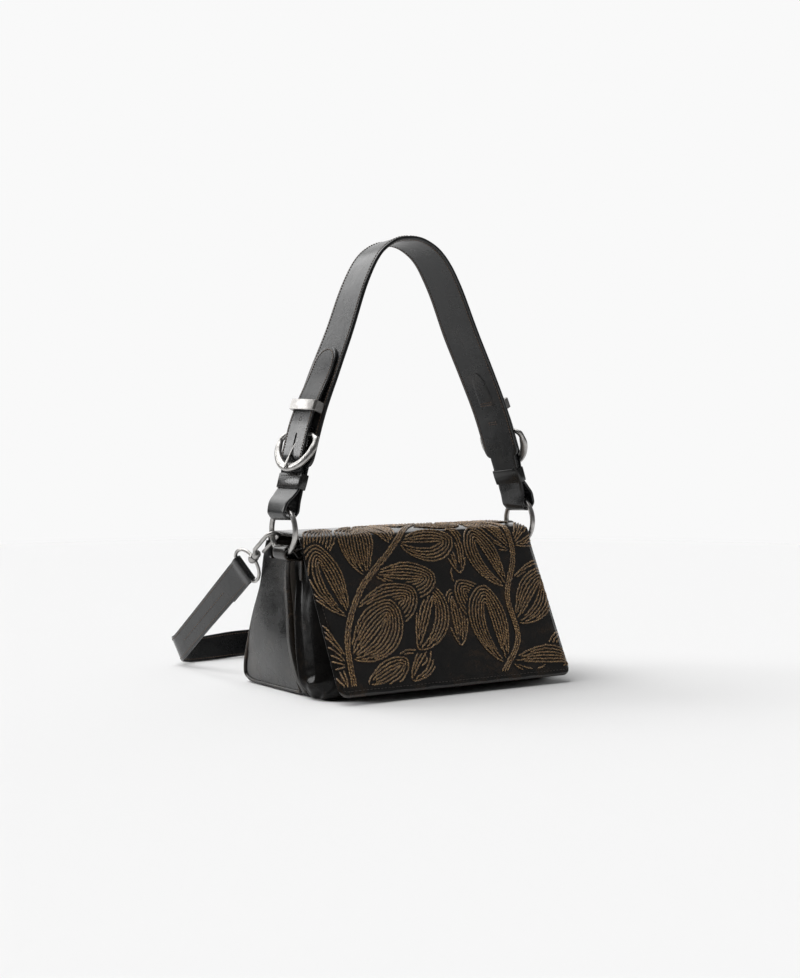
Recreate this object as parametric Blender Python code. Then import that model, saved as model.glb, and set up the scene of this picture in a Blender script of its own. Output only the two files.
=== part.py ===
"""Flap shoulder bag with two compartments, a buckled handle and a clip-on crossbody strap.

Metres, +Z up. The origin is the middle of the base, on the floor. +X is the bag's right as
seen from the front, and the flap hangs on the -Y side.
"""

import math

import bmesh
import bpy
from mathutils import Quaternion, Vector

# Clearances
SEAT_GAP = 0.0003
RUN_GAP = 0.0002
CUT_OVERRUN = 0.004

# Driving sizes of the body
BODY_WIDTH = 0.232
BODY_HEIGHT = 0.112
BACK_RISE = 0.015
BACK_HEIGHT = BODY_HEIGHT + BACK_RISE
BASE_REAR_Y = 0.071
BASE_SEAM_Y = -0.038
TOP_REAR_Y = 0.031
TOP_SEAM_Y = -0.008
PANEL_THICK = 0.0022
BACK_CORNER_RADIUS = 0.011
LINING_THICK = 0.0008
BOARD_THICK = 0.0018
BOARD_MARGIN = 0.004
EDGE_BEAD_RADIUS = 0.0012
EDGE_BEAD_INSET = 0.0030

# Front compartment: outer line of its front panel, as depth from the seam line and height
FRONT_BULGE = 0.0462
FRONT_TOP_RISE = 0.007
FRONT_TOP_HEIGHT = BODY_HEIGHT + FRONT_TOP_RISE
FRONT_PANEL_SHARES = (
    (0.67, 0.0),
    (0.83, 0.045),
    (0.93, 0.13),
    (0.965, 0.24),
    (0.93, 0.36),
    (0.86, 0.50),
    (0.76, 0.66),
    (0.63, 0.82),
    (0.51, 1.0),
)
GUSSET_PUFF = 0.0032

# Zip across the top
ZIP_SETBACK = 0.002
ZIP_RISE = 0.0075
ZIP_END_MARGIN = 0.015
ZIP_Y = TOP_SEAM_Y + ZIP_SETBACK
ZIP_Z = BODY_HEIGHT + ZIP_RISE
ZIP_HALF_LENGTH = BODY_WIDTH / 2 - ZIP_END_MARGIN
ZIP_CHAIN_WIDTH = 0.005
ZIP_CHAIN_THICK = 0.0018
ZIP_TOOTH_LENGTH = 0.0020
ZIP_TOOTH_PITCH = 0.0032
ZIP_TAPE_THICK = 0.0008
ZIP_TAPE_WIDTH = 0.0100
ZIP_TAPE_LAP = 0.0040
ZIP_PANEL_THICK = 0.0018
SLIDER_LENGTH = 0.0085
SLIDER_WIDTH = 0.0072
SLIDER_PLATE = 0.0012
SLIDER_LIP = 0.0007
SLIDER_BRIDGE_RADIUS = 0.0007
SLIDER_BRIDGE_RISE = 0.0030
SLIDER_BRIDGE_SPAN = 0.0050
PULL_LENGTH = 0.0155
PULL_WIDTH = 0.0052
PULL_THICK = 0.0009
PULL_PLAY = 0.0007

# Flap
FLAP_OVERHANG = 0.004
FLAP_TAPER = 0.013
FLAP_HINGE_SETBACK = 0.0025
FLAP_HINGE_GAP = 0.0004
FLAP_FOLD_REACH = 0.0245
FLAP_FOLD_RISE = 0.0075
FLAP_BOTTOM_REACH = 0.0143
FLAP_WIDTH = BODY_WIDTH + 2 * FLAP_OVERHANG
FLAP_REAR_WIDTH = FLAP_WIDTH - FLAP_TAPER
FLAP_HINGE_Y = TOP_REAR_Y + FLAP_HINGE_SETBACK
FLAP_HINGE_Z = BACK_HEIGHT + FLAP_HINGE_GAP
FLAP_FOLD_Y = TOP_SEAM_Y - FLAP_FOLD_REACH
FLAP_FOLD_Z = BACK_HEIGHT + FLAP_FOLD_RISE
FLAP_CROWN = 0.0016
FLAP_BOTTOM_Y = BASE_SEAM_Y - FRONT_BULGE - FLAP_BOTTOM_REACH
FLAP_BOTTOM_Z = 0.0073
FLAP_TOP_THICK = 0.0030
FLAP_FRONT_THICK = 0.0044
FLAP_LINING_THICK = 0.0010
FLAP_CORNER_RADIUS = 0.009
FLAP_LINING_MARGIN = 0.003
MAGNET_RADIUS = 0.008
MAGNET_THICK = 0.0016
MAGNET_SHARE = 0.77

# Rings and side tabs
RING_OVERHANG = 0.009
RING_SETBACK = 0.006
RING_RISE = 0.026
RING_X = BODY_WIDTH / 2 + RING_OVERHANG
RING_Y = TOP_SEAM_Y - RING_SETBACK
RING_Z = BODY_HEIGHT + RING_RISE
RING_RADIUS = 0.0197
RING_WIRE = 0.0023
TAB_WIDTH = 0.020
TAB_THICK = 0.0019
TAB_DEPTH = 0.016
TAB_LAYERS = 2 * TAB_THICK + 3 * SEAT_GAP

# Handle
HANDLE_RISE = 0.250
HANDLE_LEAN = math.radians(2.8)
HANDLE_WIDTH = 0.038
HANDLE_END_WIDTH = 0.029
HANDLE_THICK = 0.0032
TAIL_THICK = 0.0024
TAIL_WIDTH = 0.027
LOOP_RADIUS = 0.0052
LOOP_WIDTH = 0.026
HANDLE_LEG_SHARES = (
    (0.928, 0.136),
    (0.904, 0.172),
    (0.852, 0.260),
    (0.760, 0.400),
    (0.640, 0.540),
    (0.512, 0.680),
    (0.384, 0.835),
    (0.262, 0.938),
    (0.130, 0.987),
)
TWIST_LEFT = ((0.0, 8.0), (0.12, 11.0), (0.40, 11.0), (0.58, 6.0), (0.80, 2.0), (1.0, -3.0))
TWIST_RIGHT = ((0.0, -11.0), (0.12, -16.0), (0.40, -18.0), (0.58, -18.0), (0.80, -14.0), (1.0, -3.0))

# Stations along a handle leg, from its lower end upward
BUTT_AT = 0.007
LEATHER_KEEPER_AT = 0.0006
LEATHER_KEEPER_LONG = 0.0130
LEATHER_KEEPER_THICK = 0.0014
SHOULDER_AT = 0.0210
SHOULDER_LONG = 0.0085
BUCKLE_RIM_AT = 0.0175
BUCKLE_BAR_AT = 0.0480
METAL_KEEPER_AT = 0.0675
METAL_KEEPER_LONG = 0.0090
TAIL_TIP_AT = 0.129
TAIL_TIP_LONG = 0.016
BULGE_RISE_FROM = 0.0245
BULGE_RISE_TO = 0.0425
BULGE_FALL_FROM = 0.0530
BULGE_FALL_TO = 0.0655

# Buckle, prong and metal keeper
BUCKLE_HALF_WIDTH = 0.0222
BUCKLE_BAR_RADIUS = 0.0015
BUCKLE_RIM_WIDE = 0.0028
BUCKLE_RIM_THICK = 0.0021
BUCKLE_RIM_LIFT = 0.0014
BUCKLE_CORNER = 0.0065
PRONG_EYE_WALL = 0.0009
PRONG_HALF_WIDTH = 0.0011
PRONG_HALF_THICK = 0.0009
PRONG_SLOT_FROM = 0.0260
PRONG_SLOT_TO = 0.0466
PRONG_SLOT_WIDTH = 0.0034
METAL_KEEPER_WALL = 0.0013
METAL_KEEPER_SIDE_GAP = 0.0006

# Snap hooks and strap loops
HOOK_RING_ANGLE = math.radians(-16.0)
HOOK_PITCH = math.radians(33.0)
HOOK_HALF = 0.006
HOOK_WIRE = 0.0018
HOOK_PLAY = 0.0008
HOOK_BAR_LONG = 0.022
HOOK_TIP_LONG = 0.0055
HOOK_BLOCK_AT = 0.0300
HOOK_BLOCK_LONG = 0.0052
HOOK_BLOCK_RADIUS = 0.0036
HOOK_NECK_RADIUS = 0.0020
HOOK_NECK_LONG = 0.0064
HOOK_HEAD_RADIUS = 0.0031
HOOK_HEAD_LONG = 0.0018
GATE_ROOT_RADIUS = 0.0016
GATE_TIP_RADIUS = 0.0013
GATE_ROOT_AT = 0.0262
GATE_ROOT_OFFSET = 0.0047
BOSS_LONG = 0.0050
BOSS_WALL = 0.0020
STRAP_LOOP_HALF = 0.0155
STRAP_LOOP_WIRE = 0.0015
STRAP_LOOP_BAR_AT = 0.0580
STRAP_LOOP_CORNER = 0.0050
STRAP_LOOP_ROLL = math.radians(12.0)

# Crossbody strap
STRAP_WIDTH = 0.025
STRAP_THICK = 0.0020
STRAP_FOLD_LONG = 0.040
STRAP_FLOOR_GAP = 0.0003
STRAP_LAND_REACH = 0.119
STRAP_BACK_REACH = 0.134
STRAP_RISE_REACH = 0.047
STRAP_LAND_Y = BASE_REAR_Y + STRAP_LAND_REACH
STRAP_BACK_Y = BASE_REAR_Y + STRAP_BACK_REACH
STRAP_RISE_Y = BASE_REAR_Y + STRAP_RISE_REACH
STRAP_TURN_RADIUS = 0.020
STRAP_ROW_PITCH = 0.028
STRAP_ROW_MARGIN = 0.021
STRAP_ROW_SHORT = 0.085
STRAP_ROW_RIGHT_X = RING_X - STRAP_ROW_MARGIN
STRAP_ROW_LEFT_X = STRAP_ROW_SHORT - RING_X
STRAP_STEP = 0.009
STRAP_SETTLE = 0.110
STRAP_CLOSE_UP = 0.010
STRAP_STRAIGHT = 0.012

SMOOTH_ANGLE = math.radians(40.0)
ROUND_STEPS = 8


def clear_scene():
    """Remove whatever the start-up file holds."""
    for item in list(bpy.data.objects):
        bpy.data.objects.remove(item, do_unlink=True)


def make_material(name, colour, roughness, metallic):
    """A plain Principled material."""
    material = bpy.data.materials.new(name)
    material.use_nodes = True
    shader = material.node_tree.nodes["Principled BSDF"]
    shader.inputs["Base Color"].default_value = (*colour, 1.0)
    shader.inputs["Roughness"].default_value = roughness
    shader.inputs["Metallic"].default_value = metallic
    return material


def make_materials():
    """Materials by the name that the pieces use."""
    return {
        "glazed_leather": make_material("glazed_leather", (0.030, 0.024, 0.020), 0.28, 0.0),
        "strap_leather": make_material("strap_leather", (0.034, 0.030, 0.027), 0.42, 0.0),
        "gunmetal": make_material("gunmetal", (0.42, 0.40, 0.38), 0.24, 1.0),
        "lining_cloth": make_material("lining_cloth", (0.055, 0.045, 0.036), 0.85, 0.0),
        "zip_tape": make_material("zip_tape", (0.020, 0.018, 0.017), 0.80, 0.0),
        "board": make_material("board", (0.20, 0.16, 0.12), 0.80, 0.0),
    }


def add_solid(name, vertices, faces, material, origin=(0.0, 0.0, 0.0)):
    """A closed mesh object whose own origin is the point given, from world coordinates."""
    start = Vector(origin)
    frame = bmesh.new()
    corners = [frame.verts.new(Vector(point) - start) for point in vertices]
    for face in faces:
        frame.faces.new([corners[index] for index in face])
    bmesh.ops.recalc_face_normals(frame, faces=frame.faces)
    mesh = bpy.data.meshes.new(name)
    frame.to_mesh(mesh)
    frame.free()
    mesh.shade_smooth()
    mesh.set_sharp_from_angle(angle=SMOOTH_ANGLE)
    mesh.materials.append(material)
    item = bpy.data.objects.new(name, mesh)
    item.location = start
    bpy.context.collection.objects.link(item)
    return item


def skin(rings, closed):
    """Vertices and faces of a skin over rings of equal length, capped where it is open."""
    count = len(rings[0])
    vertices = [point for ring in rings for point in ring]
    faces = []
    spans = len(rings) if closed else len(rings) - 1
    for step in range(spans):
        here = step * count
        there = ((step + 1) % len(rings)) * count
        for side in range(count):
            after = (side + 1) % count
            faces.append((here + side, here + after, there + after, there + side))
    if not closed:
        last = (len(rings) - 1) * count
        faces.append(tuple(reversed(range(count))))
        faces.append(tuple(range(last, last + count)))
    return vertices, faces


def add_skin(name, rings, closed, material, origin=(0.0, 0.0, 0.0)):
    """An object made by a skin over rings."""
    vertices, faces = skin(rings, closed)
    return add_solid(name, vertices, faces, material, origin)


def add_prism(name, outline, place, low, high, material, origin=(0.0, 0.0, 0.0)):
    """A flat outline carried from low to high; place turns (u, v, depth) into a point."""
    rings = [[place(u, v, depth) for u, v in outline] for depth in (low, high)]
    return add_skin(name, rings, False, material, origin)


def arc(centre, radius, start, end, steps):
    """Points of an arc in a plane, angles in degrees."""
    points = []
    for step in range(steps + 1):
        angle = math.radians(start + (end - start) * step / steps)
        points.append((centre[0] + radius * math.cos(angle), centre[1] + radius * math.sin(angle)))
    return points


def spline(points, per_span):
    """Points of a Catmull-Rom curve through the given points."""
    fixed = [Vector(point) for point in points]
    padded = [fixed[0] * 2 - fixed[1], *fixed, fixed[-1] * 2 - fixed[-2]]
    result = []
    for index in range(1, len(padded) - 2):
        before, start, end, after = padded[index - 1:index + 3]
        for step in range(per_span):
            share = step / per_span
            result.append(
                start * 0.5 * (2 - 5 * share ** 2 + 3 * share ** 3)
                + before * 0.5 * (-share + 2 * share ** 2 - share ** 3)
                + end * 0.5 * (share + 4 * share ** 2 - 3 * share ** 3)
                + after * 0.5 * (share ** 3 - share ** 2)
            )
    result.append(fixed[-1])
    return result


def ease(value, low, high):
    """Smooth step from 0 at low to 1 at high."""
    share = min(max((value - low) / (high - low), 0.0), 1.0)
    return share * share * (3 - 2 * share)


def table_value(table, key):
    """Straight-line value between the rows of a table."""
    for (low, first), (high, second) in zip(table, table[1:]):
        if key <= high:
            share = max((key - low) / (high - low), 0.0)
            return first + (second - first) * share
    return table[-1][1]


class Route:
    """A line through space that can be read by the length along it."""

    def __init__(self, points):
        self.points = [Vector(point) for point in points]
        self.marks = [0.0]
        for first, second in zip(self.points, self.points[1:]):
            self.marks.append(self.marks[-1] + (second - first).length)
        self.length = self.marks[-1]

    def _span(self, distance):
        last = len(self.points) - 2
        for index in range(last + 1):
            if distance <= self.marks[index + 1] or index == last:
                return index
        return last

    def point(self, distance):
        """Point at a distance along the route; past its ends the route runs on straight."""
        index = self._span(distance)
        span = self.marks[index + 1] - self.marks[index]
        share = (distance - self.marks[index]) / span
        return self.points[index].lerp(self.points[index + 1], share)

    def tangent(self, distance):
        """Unit direction, averaged over a short stretch so that it turns smoothly."""
        reach = self.length / len(self.points)
        return (self.point(distance + reach) - self.point(distance - reach)).normalized()


def tube_rings(points, across, wide, thick, closed):
    """Rings round a flat path. across is square to its plane; wide lies in the plane."""
    rings = []
    count = len(points)
    for index, point in enumerate(points):
        before = points[(index - 1) % count] if closed or index > 0 else point
        after = points[(index + 1) % count] if closed or index < count - 1 else point
        tangent = (after - before).normalized()
        side = tangent.cross(across).normalized()
        ring = []
        for step in range(ROUND_STEPS):
            angle = 2 * math.pi * (step + 0.5) / ROUND_STEPS
            ring.append(point + side * (wide[index] * math.cos(angle))
                        + across * (thick[index] * math.sin(angle)))
        rings.append(ring)
    return rings


def seam_y(height):
    """Depth of the seam between the two compartments at a height."""
    return BASE_SEAM_Y + (TOP_SEAM_Y - BASE_SEAM_Y) * height / BODY_HEIGHT


def back_y(height):
    """Depth of the back panel's outer face at a height, above its rounded corner."""
    return BASE_REAR_Y + (TOP_REAR_Y - BASE_REAR_Y) * height / BACK_HEIGHT


def back_outline(inset, top):
    """Outer line of the back from the floor up, moved inward by inset."""
    slope = math.atan2(BASE_REAR_Y - TOP_REAR_Y, BACK_HEIGHT)
    radius = BACK_CORNER_RADIUS - inset
    centre_z = BACK_CORNER_RADIUS
    centre_y = back_y(centre_z) - BACK_CORNER_RADIUS / math.cos(slope)
    points = arc((centre_y, centre_z), radius, -90.0, math.degrees(slope), 5)
    points.append((back_y(top) - inset / math.cos(slope), top))
    return points


def body_place(y, z, x):
    """Outline in depth and height, carried across the width."""
    return Vector((x, y, z))


def front_outline(inset, low, top):
    """Outer line of the front panel from the base up, moved inward by inset."""
    points = []
    for depth_share, height_share in FRONT_PANEL_SHARES:
        height = low + (top - low) * height_share
        depth = seam_y(min(height, BODY_HEIGHT)) - FRONT_BULGE * depth_share
        points.append(Vector((depth, height, 0.0)))
    line = spline(points, 2)
    moved = []
    for index, point in enumerate(line):
        before = line[max(index - 1, 0)]
        after = line[min(index + 1, len(line) - 1)]
        tangent = (after - before).normalized()
        moved.append((point.x + tangent.y * inset, point.y - tangent.x * inset))
    return moved


def clip_line(line, low, high):
    """The part of a rising line between two heights, with points at exactly those heights."""
    kept = []
    for (first_y, first_z), (second_y, second_z) in zip(line, line[1:]):
        for height in (low, high):
            if first_z < height <= second_z:
                share = (height - first_z) / (second_z - first_z)
                kept.append((first_y + (second_y - first_y) * share, height))
        if low < second_z < high:
            kept.append((second_y, second_z))
    return sorted(kept, key=lambda point: point[1])


def build_rear_compartment(leather, cloth, board):
    """Back, base, divider and side panels of the zipped compartment, and what lines it."""
    half = BODY_WIDTH / 2
    inner = half - PANEL_THICK - SEAT_GAP

    back_out = back_outline(0.0, BACK_HEIGHT)
    back_in = back_outline(PANEL_THICK, BACK_HEIGHT)
    add_prism("back_panel", back_out + back_in[::-1], body_place, -inner, inner, leather)

    base_end = back_out[0][0] - SEAT_GAP
    divider_low = seam_y(0.0)
    base_line = [(divider_low, 0.0), (base_end, 0.0), (base_end, PANEL_THICK), (divider_low, PANEL_THICK)]
    add_prism("base_panel", base_line, body_place, -inner, inner, leather)

    floor = PANEL_THICK + SEAT_GAP
    divider_line = [
        (seam_y(floor), floor),
        (seam_y(floor) + PANEL_THICK, floor),
        (TOP_SEAM_Y + PANEL_THICK, BODY_HEIGHT),
        (TOP_SEAM_Y, BODY_HEIGHT),
    ]
    divider_half = inner - TAB_LAYERS
    add_prism("divider_panel", divider_line, body_place, -divider_half, divider_half, leather)

    side_line = [(BASE_SEAM_Y, 0.0)] + back_outline(0.0, BODY_HEIGHT) + [(TOP_SEAM_Y, BODY_HEIGHT)]
    for side, sign in (("left", -1), ("right", 1)):
        add_prism(f"rear_gusset_{side}", side_line, body_place, sign * (half - PANEL_THICK), sign * half, leather)
        build_edge_bead(side, sign * half, sign, leather)

    board_line = [
        (seam_y(floor) + PANEL_THICK + BOARD_MARGIN, floor),
        (base_end - BOARD_MARGIN, floor),
        (base_end - BOARD_MARGIN, floor + BOARD_THICK),
        (seam_y(floor) + PANEL_THICK + BOARD_MARGIN, floor + BOARD_THICK),
    ]
    board_half = inner - BOARD_MARGIN
    add_prism("base_board", board_line, body_place, -board_half, board_half, board)

    floor_in = floor + BOARD_THICK + SEAT_GAP
    lining_top = BODY_HEIGHT - BOARD_MARGIN

    def lining_line(inset, low):
        wall = PANEL_THICK + inset
        line = [(seam_y(low) + wall + SEAT_GAP, low)]
        line += [(y, z) for y, z in back_outline(wall + SEAT_GAP, lining_top) if z > low]
        return line + [(seam_y(lining_top) + wall + SEAT_GAP, lining_top)]

    build_lining("rear_lining", lining_line(SEAT_GAP, floor_in),
                 lining_line(SEAT_GAP + LINING_THICK, floor_in + LINING_THICK),
                 inner - TAB_LAYERS, cloth)


def build_lining(name, outer, inner, half, cloth):
    """A thin cloth tub that is open at the top, from its outer and inner side lines."""
    body = add_prism(name, outer, body_place, -half, half, cloth)
    top = outer[-1][1]
    raised = [(y, z) if z < top else (y, z + CUT_OVERRUN) for y, z in inner]
    cutter = add_prism(f"{name}_cutter", raised, body_place, -half + LINING_THICK, half - LINING_THICK, cloth)
    cut(body, cutter)


def cut(body, cutter):
    """Take the cutter out of the body."""
    cutter.hide_render = True
    cutter.display_type = "WIRE"
    change = body.modifiers.new("cut", "BOOLEAN")
    change.operation = "DIFFERENCE"
    change.solver = "EXACT"
    change.object = cutter


def build_edge_bead(side, face_x, sign, leather):
    """Raised turned edge that frames a side panel, open along its top."""
    inset = EDGE_BEAD_INSET
    back = back_outline(inset, BODY_HEIGHT - inset)
    line = [(seam_y(BODY_HEIGHT - inset) + inset, BODY_HEIGHT - inset), (seam_y(inset) + inset, inset)]
    line += [(y, z) for y, z in back]
    x = face_x + sign * (EDGE_BEAD_RADIUS + SEAT_GAP)
    points = [Vector((x, y, z)) for y, z in line]
    sizes = [EDGE_BEAD_RADIUS] * len(points)
    add_skin(f"edge_bead_{side}", tube_rings(points, Vector((1, 0, 0)), sizes, sizes, False), False, leather)


def build_front_compartment(leather, cloth):
    """Puffed front panel and side panels of the open front compartment."""
    half = BODY_WIDTH / 2
    inner = half - PANEL_THICK - SEAT_GAP
    outer_line = front_outline(0.0, 0.0, FRONT_TOP_HEIGHT)
    inner_line = front_outline(PANEL_THICK, 0.0, FRONT_TOP_HEIGHT)
    heel = seam_y(0.0) - SEAT_GAP
    inner_line = [(y, max(z, PANEL_THICK)) for y, z in inner_line]
    line = [(heel, 0.0)] + outer_line + inner_line[::-1] + [(heel, PANEL_THICK)]
    add_prism("front_panel", line, body_place, -inner, inner, leather)

    def side_line(inset, top):
        front = [(y, z) for y, z in front_outline(inset, 0.0, FRONT_TOP_HEIGHT) if z <= top]
        back = [(seam_y(top) - SEAT_GAP - inset, top), (seam_y(0.0) - SEAT_GAP - inset, max(inset, 0.0))]
        return front + back

    outline = side_line(0.0, BODY_HEIGHT)
    centre = Vector((sum(y for y, _ in outline), sum(z for _, z in outline))) / len(outline)
    for side, sign in (("left", -1), ("right", 1)):
        rings = []
        for depth, share in ((half - PANEL_THICK, 1.0), (half, 1.0), (half + GUSSET_PUFF, 0.55)):
            ring = []
            for y, z in outline:
                flat = centre + (Vector((y, z)) - centre) * share
                ring.append(Vector((sign * depth, flat.x, flat.y)))
            rings.append(ring)
        add_skin(f"front_gusset_{side}", rings, False, leather)

    low = PANEL_THICK + SEAT_GAP
    top = BODY_HEIGHT - BOARD_MARGIN

    def lining_line(inset, floor):
        wall = PANEL_THICK + inset
        front = clip_line(front_outline(wall, 0.0, FRONT_TOP_HEIGHT), floor, top)
        return [*front, (seam_y(top) - inset - SEAT_GAP, top), (seam_y(floor) - inset - SEAT_GAP, floor)]

    build_lining("front_lining", lining_line(SEAT_GAP, low),
                 lining_line(SEAT_GAP + LINING_THICK, low + LINING_THICK), inner - TAB_LAYERS, cloth)


def box_line(low_y, high_y, low_z, high_z):
    """Corners of a rectangle in depth and height."""
    return [(low_y, low_z), (high_y, low_z), (high_y, high_z), (low_y, high_z)]


def build_zip(leather, tape, metal):
    """Zip that closes the rear compartment, with its slider and pull."""
    half = ZIP_HALF_LENGTH
    chain_half = ZIP_CHAIN_WIDTH / 2
    panel_top = ZIP_Z
    panel_low = panel_top - ZIP_PANEL_THICK
    slope = math.atan2(BASE_REAR_Y - TOP_REAR_Y, BACK_HEIGHT)
    wall = (PANEL_THICK + SEAT_GAP) / math.cos(slope)
    rear_line = [
        (ZIP_Y + chain_half + ZIP_TAPE_WIDTH - ZIP_TAPE_LAP, panel_low),
        (back_y(panel_low) - wall, panel_low),
        (back_y(panel_top) - wall, panel_top),
        (ZIP_Y + chain_half + ZIP_TAPE_WIDTH - ZIP_TAPE_LAP, panel_top),
    ]
    add_prism("zip_panel_rear", rear_line, body_place, -half, half, leather)

    strip_front = TOP_SEAM_Y - ZIP_TAPE_LAP
    front_line = [
        (TOP_SEAM_Y, BODY_HEIGHT + SEAT_GAP),
        (TOP_SEAM_Y + PANEL_THICK, BODY_HEIGHT + SEAT_GAP),
        (strip_front + PANEL_THICK, panel_top),
        (strip_front - ZIP_TAPE_LAP, panel_top),
        (strip_front - ZIP_TAPE_LAP, panel_low),
        (strip_front, panel_low),
    ]
    add_prism("zip_panel_front", front_line, body_place, -half, half, leather)

    tape_low = panel_top + SEAT_GAP
    tape_high = tape_low + ZIP_TAPE_THICK
    near = ZIP_Y - chain_half - RUN_GAP
    far = ZIP_Y + chain_half + RUN_GAP
    front_tape = box_line(strip_front - ZIP_TAPE_LAP, near, tape_low, tape_high)
    rear_tape = box_line(far, far + ZIP_TAPE_WIDTH, tape_low, tape_high)
    add_prism("zip_tape_front", front_tape, body_place, -half, half, tape)
    add_prism("zip_tape_rear", rear_tape, body_place, -half, half, tape)

    middle = (tape_low + tape_high) / 2
    high = middle + ZIP_CHAIN_THICK / 2
    low = middle - ZIP_CHAIN_THICK / 2
    outline = [(half, low), (half, middle)]
    count = int((2 * half - SLIDER_LENGTH) // ZIP_TOOTH_PITCH)
    for index in range(count):
        start = half - index * ZIP_TOOTH_PITCH
        end = start - ZIP_TOOTH_LENGTH
        outline += [(start, high), (end, high), (end, middle), (start - ZIP_TOOTH_PITCH, middle)]
    outline.append((half - count * ZIP_TOOTH_PITCH, low))
    add_prism("zip_teeth", outline[:1] + outline[2:], lambda x, z, y: Vector((x, ZIP_Y + y, z)),
              -chain_half, chain_half, metal)

    build_slider(middle + ZIP_CHAIN_THICK / 2, metal)


def build_slider(chain_top, metal):
    """Slider with its bridge, and the pull that hangs on the bridge."""
    plate_low = chain_top + SEAT_GAP
    plate_high = plate_low + SLIDER_PLATE
    left = -ZIP_HALF_LENGTH
    right = left + SLIDER_LENGTH
    half = SLIDER_WIDTH / 2
    lip_low = chain_top - (ZIP_CHAIN_THICK - ZIP_TAPE_THICK) / 2 + SEAT_GAP
    line = [
        (ZIP_Y - half, lip_low),
        (ZIP_Y - half + SLIDER_LIP, lip_low),
        (ZIP_Y - half + SLIDER_LIP, plate_low),
        (ZIP_Y + half - SLIDER_LIP, plate_low),
        (ZIP_Y + half - SLIDER_LIP, lip_low),
        (ZIP_Y + half, lip_low),
        (ZIP_Y + half, plate_high),
        (ZIP_Y - half, plate_high),
    ]
    origin = (left, ZIP_Y, plate_low)
    plate = add_prism("zip_slider", line, body_place, left, right, metal, origin)

    middle = (left + right) / 2
    rise = SLIDER_BRIDGE_RISE
    span = SLIDER_BRIDGE_SPAN / 2
    foot = plate_high - SLIDER_PLATE / 2
    outline = (
        (-span, foot),
        (-span, plate_high + rise * 0.6),
        (-span / 2, plate_high + rise),
        (span / 2, plate_high + rise),
        (span, plate_high + rise * 0.6),
        (span, foot),
    )
    path = [Vector((middle + x, ZIP_Y, z)) for x, z in outline]
    sizes = [SLIDER_BRIDGE_RADIUS] * len(path)
    rings = tube_rings(path, Vector((0, 1, 0)), sizes, sizes, False)
    bridge = add_skin("zip_slider_bridge", rings, False, metal, origin)
    join(plate, bridge)

    eye_x = middle - span + SLIDER_BRIDGE_RADIUS + RUN_GAP + PULL_THICK
    low = plate_high + SEAT_GAP
    high = low + PULL_THICK
    outline = [
        (middle + span - SLIDER_BRIDGE_RADIUS * 2 - RUN_GAP, -PULL_WIDTH / 2),
        (middle + span - SLIDER_BRIDGE_RADIUS * 2 - RUN_GAP, PULL_WIDTH / 2),
        (middle - PULL_LENGTH, PULL_WIDTH / 2),
        (middle - PULL_LENGTH - PULL_WIDTH / 3, PULL_WIDTH / 4),
        (middle - PULL_LENGTH - PULL_WIDTH / 3, -PULL_WIDTH / 4),
        (middle - PULL_LENGTH, -PULL_WIDTH / 2),
    ]
    pull = add_prism("zip_pull", outline, lambda x, y, z: Vector((x, ZIP_Y + y, z)), low, high, metal,
                     (middle + span / 3, ZIP_Y, (low + high) / 2))
    slot_half = SLIDER_BRIDGE_RADIUS + RUN_GAP
    slot = box_line(-slot_half, slot_half, low - CUT_OVERRUN, high + CUT_OVERRUN)
    cutter = add_prism("zip_pull_cutter", slot, lambda y, z, x: Vector((x, ZIP_Y + y, z)),
                       middle - span - SLIDER_BRIDGE_RADIUS - PULL_PLAY, eye_x, metal)
    cut(pull, cutter)


def join(body, other):
    """Make the other solid one body with the first."""
    other.hide_render = True
    other.display_type = "WIRE"
    change = body.modifiers.new("join", "BOOLEAN")
    change.operation = "UNION"
    change.solver = "EXACT"
    change.object = other


def flap_frame():
    """Directions of the flap's front: down along it, and out of its face."""
    down = Vector((0.0, FLAP_BOTTOM_Y - FLAP_FOLD_Y, FLAP_BOTTOM_Z - FLAP_FOLD_Z))
    length = down.length
    down.normalize()
    out = Vector((0.0, down.z, -down.y))
    return down, out, length


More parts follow.
